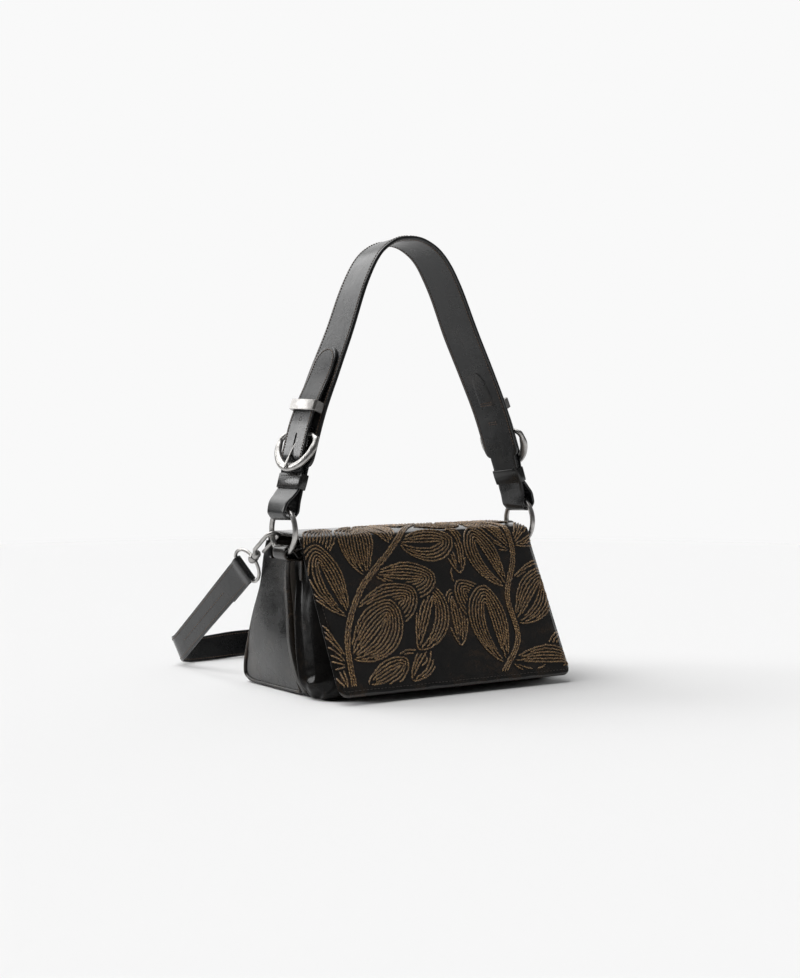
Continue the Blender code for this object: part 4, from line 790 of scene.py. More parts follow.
def flap_swell(x, along):
    """Height of the flap's soft unevenness above its middle line."""
    front = ease(along, FOLD_AT, FOLD_AT + 0.02)
    wide = noise.noise(Vector((x * 14.0, along * 11.0, 3.7))) * 0.0011
    small = noise.noise(Vector((x * 55.0, along * 24.0, 8.1))) * 0.00035
    hem = ease(along, FLAP_LONG - 0.030, FLAP_LONG - 0.006)
    pucker = math.sin(x * 190.0 + 4.0 * noise.noise(Vector((x * 26.0, 0.0, 1.0)))) * 0.00075 * hem
    left = (FLAP_LONG - along) / FLAP_EDGE_FALL
    right = (flap_half(min(along, FLAP_LONG - 0.012)) - abs(x)) / FLAP_EDGE_FALL
    edge = clamp(min(left, right))
    rim = math.sin(along * 260.0 + 4.0 * noise.noise(Vector((0.0, along * 30.0, 6.0))))
    rim *= 0.0009 * (1.0 - ease(right, 0.6, 1.8)) * front
    low = 1.0 - ease(left, 0.0, 1.6)
    pillow = -(1.0 - edge) ** 2 * (0.0034 - 0.0022 * low)
    return (wide + small + pucker + rim) * (0.35 + 0.65 * front) * ease(edge, 0.0, 1.0) + pillow * front


def flap_point(x, along, lift=0.0, smooth=True):
    """A point on the flap's outer face, lifted off it by a height."""
    point = FLAP_LINE.point(along)
    tangent = FLAP_LINE.tangent(along, FLAP_REACH)
    normal = Vector((tangent.y, -tangent.x, 0.0))
    height = lift + (flap_swell(x, along) if smooth else 0.0)
    spot = point + normal * height
    return Vector((x, spot.x, spot.y))


def flap_normal(along):
    """Outward direction of the flap's face."""
    tangent = FLAP_LINE.tangent(along, FLAP_REACH)
    return Vector((0.0, tangent.y, -tangent.x))


def flap_thick(along):
    """Thickness of the padded flap."""
    return FLAP_TOP_THICK + (FLAP_FRONT_THICK - FLAP_TOP_THICK) * ease(along, FOLD_AT - 0.01, FOLD_AT + 0.02)


def bend_flap(item):
    """Bakes the piece's placement into its mesh."""
    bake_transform(item)


def flap_hem_place(distance):
    """Width and length on the flap at a distance along its hem, from the fold down and round."""
    x = -(FLAP_WIDTH / 2 - FLAP_HEM)
    left_long = FLAP_LONG - FLAP_HEM - FOLD_AT - FLAP_HEM_FROM
    if distance < left_long:
        return x, FOLD_AT + FLAP_HEM_FROM + distance
    if distance < left_long + FLAP_WIDTH - 2 * FLAP_HEM:
        return x + distance - left_long, FLAP_LONG - FLAP_HEM
    return -x, FLAP_LONG - FLAP_HEM - (distance - left_long - FLAP_WIDTH + 2 * FLAP_HEM)


def make_flap():
    """Padded leather shell of the flap, its cloth lining and the stitches round its hem."""
    stations = []
    along = 0.0
    while along < FLAP_LONG - FLAP_CORNER_RADIUS:
        stations.append(along)
        along += FLAP_FINE_STEP if min(abs(along - FOLD_AT), along) < 0.012 else FLAP_STEP
    stations += [FLAP_LONG - FLAP_CORNER_RADIUS * (1 - share)
                 for share in (0.0, 0.25, 0.45, 0.62, 0.76, 0.87, 0.94, 0.98, 1.0)]
    rings = []
    for along in stations:
        thick = flap_thick(along)
        corner = thick * 0.46
        last = (FLAP_LONG - along) / corner
        squeeze = math.sqrt(max(1.0 - (1.0 - min(last, 1.0)) ** 2, 0.05))
        ring = []
        for across, out in rounded_section(flap_half(along), thick * squeeze, corner * squeeze, 74):
            swell = flap_swell(across, along) * ease(out / (thick * squeeze) + HALF, 0.25, 0.9)
            ring.append(flap_point(across, along, out - thick / 2 + swell, smooth=False))
        rings.append(ring)
    shell = solid("flap_shell", rings, GLAZED, None, "glazed_leather", smooth=60.0)
    shell.data.materials.append(LINING)
    bend_flap(shell)
    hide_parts("flap_top", "flap_front")

    rings = []
    inset = FLAP_LINING_INSET
    radius = FLAP_CORNER_RADIUS - inset
    steps = 60
    for step in range(steps + 1):
        along = FLAP_LINING_FROM + (FLAP_LONG - inset - FLAP_LINING_FROM) * step / steps
        half = flap_half(min(along, FLAP_LONG - FLAP_CORNER_RADIUS)) - inset
        left = FLAP_LONG - inset - along
        if left < radius:
            half -= rounding(radius, radius - left)
        thick = flap_thick(along)
        rings.append([flap_point(across, along, out - thick - FLAP_LINING_GAP, smooth=False)
                      for across, out in rounded_section(half, 0.0009, 0.0004, 30)])
    inside = solid("flap_inner_cloth", rings, LINING, None, "lining_cloth", smooth=60.0)
    bend_flap(inside)
    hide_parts("flap_lining")

    def hem(distance):
        x, along = flap_hem_place(distance)
        return flap_point(x, along, 0.0001), flap_normal(along)

    rows = Builder()
    total = 2 * (FLAP_LONG - FLAP_HEM - FOLD_AT - FLAP_HEM_FROM) + FLAP_WIDTH - 2 * FLAP_HEM
    stitch_row(rows, hem, 0.0, total, pitch=0.0036, long=0.0025, radius=FINE_STITCH_RADIUS)
    seam = rows.make("flap_rim_stitches", [DARK_THREAD], slot="glazed_leather")
    bend_flap(seam)


# Corded ornament: leafy fronds, laid in echo lines; places are width and length down from the fold

class Ornament:
    """Cord lines on the flap; later motifs stop short of earlier ones."""

    def __init__(self):
        self.lines = []
        self.taken = {}
        self.motif = 0
        self.cord = 0

    def free(self, point):
        """Whether the place is clear of other motifs and of this motif's other cords."""
        column = math.floor(point.x / CORD_PITCH)
        row = math.floor(point.y / CORD_PITCH)
        for near in range(column - 1, column + 2):
            for level in range(row - 1, row + 2):
                for other, motif, cord in self.taken.get((near, level), ()):
                    apart = (other - point).length
                    if motif != self.motif and apart < CORD_PITCH * MOTIF_GAP_SHARE:
                        return False
                    if motif == self.motif and cord != self.cord and apart < CORD_PITCH * CORD_GAP_SHARE:
                        return False
        return True

    def add(self, points):
        """Lays a cord along the points, in even steps, where there is room on the flap."""
        self.cord += 1
        route = Route([(point.x, point.y + FOLD_AT, 0.0) for point in points])
        steps = max(int(route.length / CORD_STEP), 2)
        run = []
        for step in range(steps + 1):
            spot = route.point(route.length * step / steps).to_2d()
            inside = CORD_TOP_MARGIN < spot.y < FLAP_LONG - CORD_FOOT_MARGIN
            inside = inside and abs(spot.x) < flap_half(spot.y) - CORD_RADIUS * 0.8
            bare = BARE_FROM_X < spot.x < BARE_TO_X and spot.y - FOLD_AT > BARE_FROM
            if inside and not bare and self.free(spot):
                run.append(spot)
            else:
                self.keep(run)
                run = []
        self.keep(run)

    def keep(self, run):
        """Keeps a run of points that is long enough to be a cord."""
        if len(run) < CORD_SHORTEST:
            return
        self.lines.append(run)
        for point in run:
            cell = (math.floor(point.x / CORD_PITCH), math.floor(point.y / CORD_PITCH))
            self.taken.setdefault(cell, []).append((point, self.motif, self.cord))

    def leaf(self, root, degrees, long, half, turn=0.0):
        """Nested loops from one root to a round end; the spine turns by turn degrees."""
        self.motif += 1
        spine = [Vector((root[0], root[1]))]
        headings = [math.radians(degrees)]
        count = 200
        for step in range(1, count + 1):
            heading = headings[-1]
            spine.append(spine[-1] + Vector((math.cos(heading), math.sin(heading))) * (long / count))
            headings.append(math.radians(degrees + turn * (step / count) ** 1.2))
        level = 0
        while half - CORD_PITCH * level > CORD_PITCH * 0.4 and long > CORD_PITCH * (level + 3):
            reach = long - CORD_PITCH * level
            width = half - CORD_PITCH * level
            left = []
            right = []
            steps = max(int(reach / CORD_STEP), 10)
            for step in range(steps + 1):
                share = step / steps
                body = math.sin(math.pi * share ** 1.2) ** 0.58 if 0 < share < 1 else 0.0
                index = min(int(count * reach * share / long), count)
                heading = headings[index]
                side = Vector((-math.sin(heading), math.cos(heading))) * (width * body)
                left.append(spine[index] + side)
                right.append(spine[index] - side)
            self.add(left + right[-2::-1])
            level += 1

    def frond(self, points, count, long, half, opening, turn, taper, first):
        """A bent stem of three cords, with pairs of leaves that shrink toward its tip."""
        route = Route(spline([(x, along, 0.0) for x, along in points], 20))

        def beside(distance, offset):
            point = route.point(distance)
            tangent = route.tangent(distance, 0.001)
            spot = Vector((point.x - tangent.y * offset, point.y + tangent.x * offset))
            return spot, math.degrees(math.atan2(tangent.y, tangent.x))

        self.motif += 1
        for place in (-1, 0, 1):
            offset = place * CORD_PITCH * STEM_GAP_SHARE
            self.add([beside(route.length * step / 120, offset)[0] for step in range(121)])
        tip, heading = beside(route.length - 0.002, 0.0)
        self.leaf(tip, heading, long * taper * 1.1, half * taper * 1.1)
        for index in range(count):
            share = first + (0.94 - first) * index / (count - 1)
            size = 1 - (1 - taper) * share
            for side in (-1, 1):
                root, heading = beside(route.length * (share + 0.03 * (side > 0)), side * CORD_PITCH * 0.9)
                self.leaf(root, heading + side * opening, long * size, half * size, -side * turn)


def ornament_lines():
    """Two fronds that climb over the fold, with single leaves between them."""
    work = Ornament()
    work.frond(((-0.106, 0.135), (-0.100, 0.090), (-0.074, 0.048), (-0.032, 0.012), (0.010, -0.030)),
               5, 0.076, 0.0205, 60, 40, 0.64, 0.10)
    work.frond(((0.046, 0.134), (0.072, 0.104), (0.074, 0.064), (0.094, 0.022), (0.092, -0.030)),
               5, 0.074, 0.0195, 62, 36, 0.66, 0.06)
    leaves = (
        ((-0.034, 0.106), -40, 0.066, 0.0155, -46),
        ((-0.092, 0.132), -14, 0.048, 0.0105, -20),
        ((-0.048, 0.132), -34, 0.042, 0.0095, -30),
        ((-0.118, 0.034), -70, 0.074, 0.0135, 26),
        ((-0.072, 0.004), -60, 0.060, 0.0125, 22),
        ((0.100, 0.134), -60, 0.044, 0.0100, 26),
        ((0.052, -0.004), -100, 0.044, 0.0120, -10),
        ((0.030, 0.040), -84, 0.050, 0.0115, -14),
        ((0.010, 0.106), -78, 0.052, 0.0105, -14),
        ((-0.062, 0.116), -8, 0.034, 0.0085, 10),
        ((0.036, 0.064), -112, 0.034, 0.0085, 10),
        ((-0.112, 0.134), -96, 0.040, 0.0080, 14),
        ((0.078, 0.134), -20, 0.040, 0.0080, -10),
    )
    for leaf in leaves:
        work.leaf(*leaf)
    return work.lines


def make_ornament():
    """Cords couched on the flap in echo lines."""
    cords = Builder()
    for number, run in enumerate(ornament_lines()):
        points = []
        for index, (x, along) in enumerate(run):
            sway = CORD_SWAY * noise.noise(Vector((x * 420.0, along * 420.0, number)))
            press = CORD_SWAY * 0.35 * math.sin(index * 1.9 + number)
            points.append(flap_point(x + sway, along + sway, CORD_RADIUS * 0.72 + press))
        rings = []
        values = []
        travelled = 0.0
        for index, point in enumerate(points):
            radius = CORD_RADIUS * (0.45 if index in (0, len(points) - 1) else 1.0)
            way = step_at(points, index)
            up = flap_normal(run[index].y)
            side = way.normalized().cross(up).normalized()
            rings.append([point + side * (radius * math.cos(angle)) + up * (radius * 0.92 * math.sin(angle))
                          for angle in turns(CORD_SIDES)])
            values.append([travelled / CORD_LAY_LONG + abs(step / CORD_SIDES - HALF) * 2
                           for step in range(CORD_SIDES)])
            travelled += way.length / 2
        cords.skin(rings, values=values)
    item = cords.make("flap_corded_ornament", [CORD], slot="glazed_leather", smooth=180.0, value_name="lay")
    bend_flap(item)


# Body

def wall_outline(half, radius, per_side=20):
    """Closed outline of the rear compartment, from its back right corner round by the left.

    Each point is a width and a depth share: 1 at the back, -1 at the seam.
    """
    flat = half - radius
    deep = 1.0 - radius
    shares = [step / per_side for step in range(1, per_side)]
    runs = [2 * flat * step / (per_side * 2) for step in range(1, per_side * 2)]
    points = arc((flat, deep), radius, 0.0, 90.0, 6)
    points += [(flat - run, 1.0) for run in runs]
    points += arc((-flat, deep), radius, 90.0, 180.0, 6)
    points += [(-half, deep - 2 * deep * share) for share in shares]
    points += arc((-flat, -deep), radius, 180.0, 270.0, 6)
    points += [(run - flat, -1.0) for run in runs]
    points += arc((flat, -deep), radius, 270.0, 360.0, 6)
    points += [(half, 2 * deep * share - deep) for share in shares]
    return points


FRONT_LINE = [(point.x, point.y) for point in spline(
    [(height * FRONT_TOP_HEIGHT, depth * FRONT_BULGE, 0.0) for depth, height in FRONT_PANEL_SHARES], 6)]


def front_side(share, height):
    """How far the puffed side stands out of its plane, from the seam (0) to the front (1)."""
    low = ease(height, 0.000, 0.016)
    high = 1.0 - ease(height, 0.086, 0.108)
    band = BAND_HIGH * (0.35 + 0.65 * low) * table_value(BAND_SHARES, share)
    valley = -VALLEY_DEEP * (0.15 + 0.85 * low) * (0.20 + 0.80 * high)
    valley *= math.exp(-((share - 0.272) / 0.042) ** 2)
    lean = 1.0 - 0.58 * clamp((height - 0.006) / 0.068)
    shoulder = 1.0 - 0.98 * ease(height, 0.070, 0.099)
    lobe = LOBE_PUFF * table_value(LOBE_SHARES, share) * (0.25 + 0.75 * low) * lean * shoulder
    crease = 0.0019 * (1.0 - ease(height, 0.006, 0.030)) * ease(share, 0.40, 0.55) * (1.0 - ease(share, 0.88, 1.0))
    crease *= math.sin(math.tau * (share * 1.5 - height * 52.0))
    soft = 0.0008 * noise.noise(Vector((share * 2.6, height * 26.0, 4.0))) * (1.0 - ease(share, 0.9, 1.0))
    tilt = -0.0045 * height / FRONT_TOP_HEIGHT * ease(share, 0.30, 0.50)
    return band + valley + lobe + crease + soft + tilt


def side_outline(half, seam, deep, radius, height):
    """Places (out, depth) of the front compartment's side at a height, from the seam to the front."""
    side = []
    for step in range(FRONT_SIDE_STEPS + 1):
        share = step / FRONT_SIDE_STEPS
        past = max(share * deep - (deep - radius), 0.0)
        turn = rounding(radius, past)
        out = front_side(share, height) * (1.0 - past / radius) + side_bulge(height) * (1.0 - share)
        back = seam_bow(half, height) * (1.0 - ease(share, 0.0, 0.9))
        side.append((half + out - turn, seam - deep * share + back))
    return side


def front_ring(height, inset):
    """Outline of the front compartment at a height, moved inward by inset."""
    middle = seam_y(min(height, BODY_HEIGHT))
    seam = middle - SEAT_GAP * 2 - inset
    front = middle - table_value(FRONT_LINE, height) + inset
    half = BODY_WIDTH / 2 - SEAT_GAP - inset
    deep = seam - front
    radius = min(FRONT_CORNER_RADIUS * (0.55 + 0.45 * ease(height, 0.0, 0.02)) - inset, deep * 0.4)
    side = side_outline(half, seam, deep, radius, height)
    ring = []
    count = FRONT_STEPS
    first = side[0][0]
    last = side[-1][0]
    for step in range(count):
        x = first - 2 * first * step / count
        ring.append(Vector((x, seam + seam_bow(x, height), height)))
    ring += [Vector((-x, y, height)) for x, y in side[:-1]]
    for step in range(count):
        x = -last + 2 * last * step / count
        swell = 0.0009 * noise.noise(Vector((x * 20.0, height * 20.0, 2.0)))
        ring.append(Vector((x, front + swell * math.sin(math.pi * step / count), height)))
    ring += [Vector((x, y, height)) for x, y in side[:0:-1]]
    return ring


def make_front_compartment():
    """Puffed open compartment in front: leather darkened with painted shade outside, cloth inside."""
    top = FRONT_TOP_HEIGHT
    foot = FRONT_FOOT_RADIUS
    heights = [0.0, 0.0004, 0.0014, 0.0030]
    heights += [foot + (top - 0.0010 - foot) * step / 54 for step in range(55)]
    outside = [front_ring(height, rounding(foot, foot - min(height, foot)) * 0.6) for height in heights]
    outside += [front_ring(top - 0.0003, 0.0003), front_ring(top, 0.0008)]
    inside = [front_ring(top - 0.0004, PANEL_THICK * 0.8)]
    inside += [front_ring(top - (top - PANEL_THICK * 1.6) * step / 24, PANEL_THICK) for step in range(1, 25)]
    tub = join_tub(outside, inside)
    item = tub.make("front_compartment_shell", [SHADE_DARKENED_FRONT_LEATHER, LINING], "bag", "glazed_leather",
                    ("front_panel", "front_gusset_left", "front_gusset_right", "front_lining"), smooth=75.0)


def make_bands():
    """Rubbed leather band along each seam between the compartments."""
    steps = int(FRONT_SIDE_STEPS * BAND_TO_SHARE)
    for side, sign in SIDES:
        rings = []
        for step in range(61):
            height = BAND_FOOT + (BODY_HEIGHT - BAND_SHORTER) * step / 60
            seam = seam_y(height) - SEAT_GAP * 2
            deep = table_value(FRONT_LINE, height) - SEAT_GAP * 2
            line = side_outline(BODY_WIDTH / 2 - SEAT_GAP, seam, deep, FRONT_CORNER_RADIUS, height)[1:steps + 1]
            outer = [Vector((sign * (out + BAND_PROUD), y, height)) for out, y in line]
            inner = [Vector((sign * (out - BAND_SUNK), y, height)) for out, y in line[::-1]]
            rings.append(outer + inner)
        solid(f"seam_band_{side}", rings, WORN_BAND, "bag", "glazed_leather", smooth=60.0)


def join_tub(outside, inside):
    """An open tub from its outer rings, bottom to top, and its inner rings, top to bottom."""
    tub = Builder()
    around = len(outside[0])
    tub.skin(outside, caps=False)
    tub.faces.append(tuple(reversed(range(around))))
    tub.finish.append(0)
    first = len(tub.vertices)
    tub.skin(inside, caps=False, finish=1)
    rim = first - around
    for side in range(around):
        after = (side + 1) % around
        tub.faces.append((rim + side, rim + after, first + after, first + side))
        tub.finish.append(0)
    last = len(tub.vertices) - around
    tub.faces.append(tuple(range(last, last + around)))
    tub.finish.append(1)
    return tub


def rear_back(height):
    """Depth of the back's outer face with its rounded foot."""
    if height >= BACK_CORNER_RADIUS:
        return back_y(height)
    return back_y(BACK_CORNER_RADIUS) - rounding(BACK_CORNER_RADIUS, BACK_CORNER_RADIUS - height)


def wall_ring(share, inset):
    """Points (x, y, height) round the rear compartment at a share of its height."""
    half = BODY_WIDTH / 2 - inset
    row = []
    for x, depth in wall_outline(half, WALL_CORNER):
        part = (depth + 1.0) / 2
        top = BODY_HEIGHT + (BACK_HEIGHT - BODY_HEIGHT) * ease(part, 0.80, 0.985) - 0.0006 * (inset > 0)
        height = share * top
        front = seam_y(min(height, BODY_HEIGHT)) + inset
        back = rear_back(height) - inset
        y = front + (back - front) * part
        if abs(depth) < 1.0 - 1e-6 and abs(x) < half - 1e-6:
            near = rounding(WALL_CORNER, abs(x) - (half - WALL_CORNER))
            y = back - near if depth > 0 else front + near
        y += seam_bow(x, height) * (1.0 - part)
        y -= back_pinch(height) * part * ease(abs(x), 0.098, 0.115)
        row.append((x, y, height))
    return row


def make_rear_compartment():
    """Structured zipped compartment: leather outside, cloth inside."""
    outside = []
    shares = [0.0, 0.006, 0.018, 0.04, 0.07, 0.10] + [0.10 + 0.90 * step / 34 for step in range(1, 35)]
    for share in shares:
        row = []
        lift = WALL_FOOT_TUCK * rounding(1.0, 1.0 - min(share / WALL_FOOT_SHARE, 1.0))
        for x, y, height in wall_ring(share, 0.0):
            side = ease(abs(x), BODY_WIDTH / 2 - 0.006, BODY_WIDTH / 2 - 0.002)
            dent = -WALL_DENT * math.sin(math.pi * min(share, 1.0)) * side
            dent *= math.sin(math.pi * clamp((y - seam_y(height)) / 0.09))
            wave = noise.noise(Vector((x * 12.0, y * 24.0, height * 22.0))) * WALL_WAVE * ease(share, 0.0, 0.08)
            sign = 1.0 if x > 0 else -1.0
            if side > 0.5:
                row.append(Vector((x - sign * (dent - wave * 0.9 + lift - side_bulge(height)), y, height)))
            else:
                row.append(Vector((x * (1 - lift * 4), y + (wave if y > 0.01 else 0.0), height)))
        outside.append(row)
    steps = 14
    inside = [[Vector(point) for point in wall_ring(1.0 - (1.0 - 0.045) * step / steps, PANEL_THICK)]
              for step in range(steps + 1)]
    join_tub(outside, inside).make(
        "rear_compartment_shell", [GUSSET, LINING], "bag", "glazed_leather",
        ("back_panel", "base_panel", "divider_panel", "rear_gusset_left", "rear_gusset_right",
         "rear_lining", "base_board"), smooth=70.0)


def make_gusset_edge(side, sign):
    """Turned edge bead of one rear side panel, and the stitches beside its seam."""
    edge_x = sign * (BODY_WIDTH / 2 + 0.0004)

    def seam(height):
        return seam_y(height) + seam_bow(edge_x, height)

    line = [(seam(BODY_HEIGHT - 0.001) + BEAD_INSET, BODY_HEIGHT - 0.001)]
    line += [(seam(BODY_HEIGHT * share) + BEAD_INSET, BODY_HEIGHT * share)
             for share in (0.82, 0.66, 0.5, 0.34, 0.2, 0.09)]
    line += [(seam(0.0035) + BEAD_INSET + 0.0012, 0.0032)]
    line += [(BASE_SEAM_Y + 0.018, 0.0021), (0.0, 0.0020), (0.030, 0.0020), (0.052, 0.0022)]
    line += [(rear_back(0.0045) - BEAD_INSET, 0.0055), (rear_back(0.012) - BEAD_INSET, 0.012)]
    for share in (0.25, 0.5, 0.64, 0.78, 0.90, 0.985):
        height = BODY_HEIGHT * share
        line.append((back_y(height) - BEAD_INSET - back_pinch(height), height))
    points = spline([(edge_x + sign * side_bulge(z), y, z) for y, z in line], 8)
    solid(f"gusset_piping_{side}", tube_rings(points, BEAD_RADIUS, 12, RIGHT), WORN_EDGE, "bag", "glazed_leather",
          (f"edge_bead_{side}",))
    rows = Builder()
    route = Route(spline([(sign * (BODY_WIDTH / 2 + 0.0001 + side_bulge(z)), seam(z) + 0.0058, z)
                          for z in (0.109, 0.095, 0.080, 0.065, 0.050, 0.035, 0.020, 0.0085)], 8))
    stitch_row(rows, lambda distance: (route.point(distance), RIGHT * sign), 0.0, route.length,
               radius=FINE_STITCH_RADIUS)
    rows.make(f"gusset_stitches_{side}", [DARK_THREAD], "bag", "glazed_leather")


def make_sheet(name, material, slot, line, thick, slack):
    """A soft strip along the zip with rounded edges; line is its middle in depth and height."""
    route = Route(spline([(0.0, y, z) for y, z in line], 4))
    count = 16
    rings = []
    for step in range(61):
        x = ZIP_HALF_LENGTH * (step / 30 - 1.0)
        upper = []
        lower = []
        for index in range(count + 1):
            distance = route.length * index / count
            tangent = route.tangent(distance, 0.0006)
            normal = Vector((0.0, -tangent.z, tangent.y))
            wave = noise.noise(Vector((x * 45.0, index * 0.3, thick * 9000.0))) - 0.5
            centre = route.point(distance) + normal * (slack * wave * math.sin(math.pi * index / count))
            edge = 0.35 if index in (0, count) else 0.85 if index in (1, count - 1) else 1.0
            half = normal * (thick / 2 * edge)
            upper.append(centre + half + Vector((x, 0.0, 0.0)))
            lower.append(centre - half + Vector((x, 0.0, 0.0)))
        rings.append(upper + lower[::-1])
    solid(name, rings, material, "bag", slot, (name.replace("_cloth", "").replace("_facing", "_panel"),))


def make_zip():
    """Facings, tapes and interlocked teeth of the zip; slider and pull keep their solids."""
    level = ZIP_TOP - ZIP_PANEL_THICK / 2
    back = back_y(ZIP_TOP) - PANEL_THICK * 1.2
    rear = [(0.0030, level), (0.0120, level - 0.0002), (back - 0.0060, level), (back, level)]
    front = [(-0.0155, level), (-0.0115, level), (-0.0098, level - 0.0010), (-0.0084, level - 0.0035)]
    front += [(-0.0070, BODY_HEIGHT)]
    tape = ZIP_TOP + SEAT_GAP + ZIP_TAPE_THICK / 2
    rear_tape = [(y, tape) for y in (-0.0033, 0.0020, 0.0067)]
    front_tape = [(y, tape) for y in (-0.0160, -0.0120, -0.0087)]
    make_sheet("zip_facing_rear", GLAZED, "glazed_leather", rear, ZIP_PANEL_THICK, 0.0012)
    make_sheet("zip_facing_front", GLAZED, "glazed_leather", front, ZIP_PANEL_THICK, 0.0003)
    make_sheet("zip_tape_rear_cloth", TAPE, "zip_tape", rear_tape, ZIP_TAPE_THICK, 0.0002)
    make_sheet("zip_tape_front_cloth", TAPE, "zip_tape", front_tape, ZIP_TAPE_THICK, 0.0001)
    rows = Builder()
    for y in (0.0048, -0.0132):
        stitch_row(rows, lambda s, y=y: (Vector((s, y, tape + ZIP_TAPE_THICK / 2)), UP),
                   -ZIP_HALF_LENGTH + 0.002, ZIP_HALF_LENGTH - 0.002, radius=FINE_STITCH_RADIUS)
    rows.make("zip_stitches", [DARK_THREAD], "bag", "zip_tape")
    low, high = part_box("zip_teeth")
    teeth = Builder()
    middle = (low.y + high.y) / 2
    height = (low.z + high.z) / 2
    for index in range(int((high.x - low.x) / TOOTH_PITCH)):
        x = low.x + TOOTH_PITCH * (index + HALF)
        side = 1 if index % 2 else -1
        start = Vector((x, middle + side * 0.0024, height))
        end = Vector((x, middle - side * 0.0009, height))
        path = [start, start.lerp(end, 0.15), start.lerp(end, 0.85), end]
        teeth.skin(tube_rings(path, TOOTH_SIZES, 8, UP))
    teeth.make("zip_tooth_rows", [GUNMETAL], "bag", "gunmetal", ("zip_teeth",))
    for name in ("zip_slider", "zip_pull", "flap_magnet", "body_magnet"):
        soften(nodes[name])


def dress(item, material):
    """Gives an object its only material."""
    item.data.materials.clear()
    item.data.materials.append(material)


def soften(item):
    """Metal finish and a small bevel on a carried-over solid."""
    dress(item, GUNMETAL)
    bevel = item.modifiers.new("bevel", "BEVEL")
    bevel.width = EDGE_BEVEL
    bevel.segments = 2
    bevel.limit_method = "ANGLE"
    bevel.angle_limit = math.radians(40.0)


# Rings and tabs

def make_ring_and_tab(side, sign):
    """Polished ring and the folded leather tab that holds it."""
    points = [Vector((sign * RING_X, y, z)) for y, z in arc((RING_Y, RING_Z), RING_RADIUS, 0.0, 357.0, 119)]
    solid(f"round_ring_{side}", tube_rings(points, RING_WIRE, 20, RIGHT, closed=True), GUNMETAL, f"ring_{side}",
          "gunmetal", (f"ring_{side}",), closed=True)

    half = TAB_WIDTH / 2
    line_radius = RING_WIRE + SEAT_GAP * 3 + TAB_THICK / 2
    low = RING_Z - RING_RADIUS
    high = low + rounding(RING_RADIUS, half)
    wall = BODY_WIDTH / 2 - PANEL_THICK - SEAT_GAP
    inner_x = wall - TAB_THICK * 1.5 - SEAT_GAP
    outer_x = wall - TAB_THICK / 2
    lip = BODY_HEIGHT + SEAT_GAP + TAB_THICK / 2
    foot = BODY_HEIGHT - TAB_DEPTH
    path = [(inner_x, foot), (inner_x, lip - 0.001), (inner_x + 0.0012, lip + TAB_THICK)]
    path += [(BODY_WIDTH / 2, lip + TAB_THICK + SEAT_GAP)]
    path += [(RING_X - line_radius - TAB_THICK, high - TAB_THICK)]
    path += arc((RING_X, high), line_radius, 180.0, 0.0, 8)
    path += arc((RING_X, low), line_radius, 0.0, -90.0, 5)
    path += [(BODY_WIDTH / 2, lip), (outer_x + 0.0007, lip - 0.0002), (outer_x, lip - 0.0012), (outer_x, foot)]
    line = spline([(x, z, 0.0) for x, z in path], 3)
    outline = rounded_section(half, TAB_THICK, TAB_THICK * 0.4, 8)
    rings = []
    for index, point in enumerate(line):
        tangent = step_at(line, index).normalized()
        normal = Vector((-tangent.y, tangent.x, 0.0))
        spots = [(point + normal * out, across) for across, out in outline]
        rings.append([Vector((sign * spot.x, RING_Y + across, spot.y)) for spot, across in spots])
    solid(f"ring_tab_{side}", rings, GLAZED, "bag", "glazed_leather", (f"tab_{side}",))


# Handle

class Leg:
    """One side of the handle: turns (along, across, outward) into a point in space."""

    def __init__(self, sign):
        self.sign = sign
        self.twist = TWIST_LEFT if sign < 0 else TWIST_RIGHT
        self.shoulder = SHOULDER_AT if sign < 0 else SHOULDER_AT + SHOULDER_RIGHT_LATER
        points = [(RING_X * x, HANDLE_RISE * h, 0.0) for x, h in HANDLE_LEG_SHARES]
        points.append((0.0, HANDLE_RISE, 0.0))
        mirrored = [(-x, h, z) for x, h, z in points[::-1]][1:3]
        curve = spline(points + mirrored, 6)
        self.route = Route([point for point in curve if point.x >= -SEAT_GAP])
        self.length = self.route.length
        self.lean = Quaternion(RIGHT, -HANDLE_LEAN)
        self.centre = Vector((0.0, RING_Y, RING_Z))

    def to_space(self, x, height, depth):
        """From the handle's own upright plane to space."""
        return self.centre + self.lean @ Vector((self.sign * x, depth, height))

    def frame(self, along):
        """Point, width direction and outward direction in the handle's own plane."""
        point = self.route.point(along)
        tangent = self.route.tangent(along)
        outward = Vector((tangent.y, -tangent.x, 0.0))
        angle = math.radians(table_value(self.twist, along / self.length))
        across = UP * math.cos(angle) + outward * math.sin(angle)
        normal = outward * math.cos(angle) - UP * math.sin(angle)
        return point, across, normal

    def place(self, along, across, outward):
        """A point beside the leg's centre line."""
        point, wide, normal = self.frame(along)
        spot = point + wide * across + normal * outward
        return self.to_space(spot.x, spot.y, spot.z)

    def normal(self, along):
        """Outward direction in space."""
        return (self.place(along, 0.0, 0.01) - self.place(along, 0.0, 0.0)).normalized()

    def on_face(self, point, outward):
        """A place at a height above the leg's middle, and the outward direction there."""
        return self.place(point.x, point.y, outward), self.normal(point.x)

    def band_ring(self, along, half_width, centre, thick, count=12):
        """Rounded outline of a flat band across the leg."""
        outline = rounded_section(half_width, thick, thick * CORNER_SHARE, count)
        return [self.place(along, across, centre + out) for across, out in outline]


def handle_half_width(along, leg):
    """Half width of the handle: narrow at the end, then a rounded shoulder."""
    share = clamp((along - leg.shoulder) / SHOULDER_LONG)
    rise = math.sqrt(1.0 - (1.0 - share) ** 2)
    return (HANDLE_END_WIDTH + (HANDLE_WIDTH - HANDLE_END_WIDTH) * rise) / 2


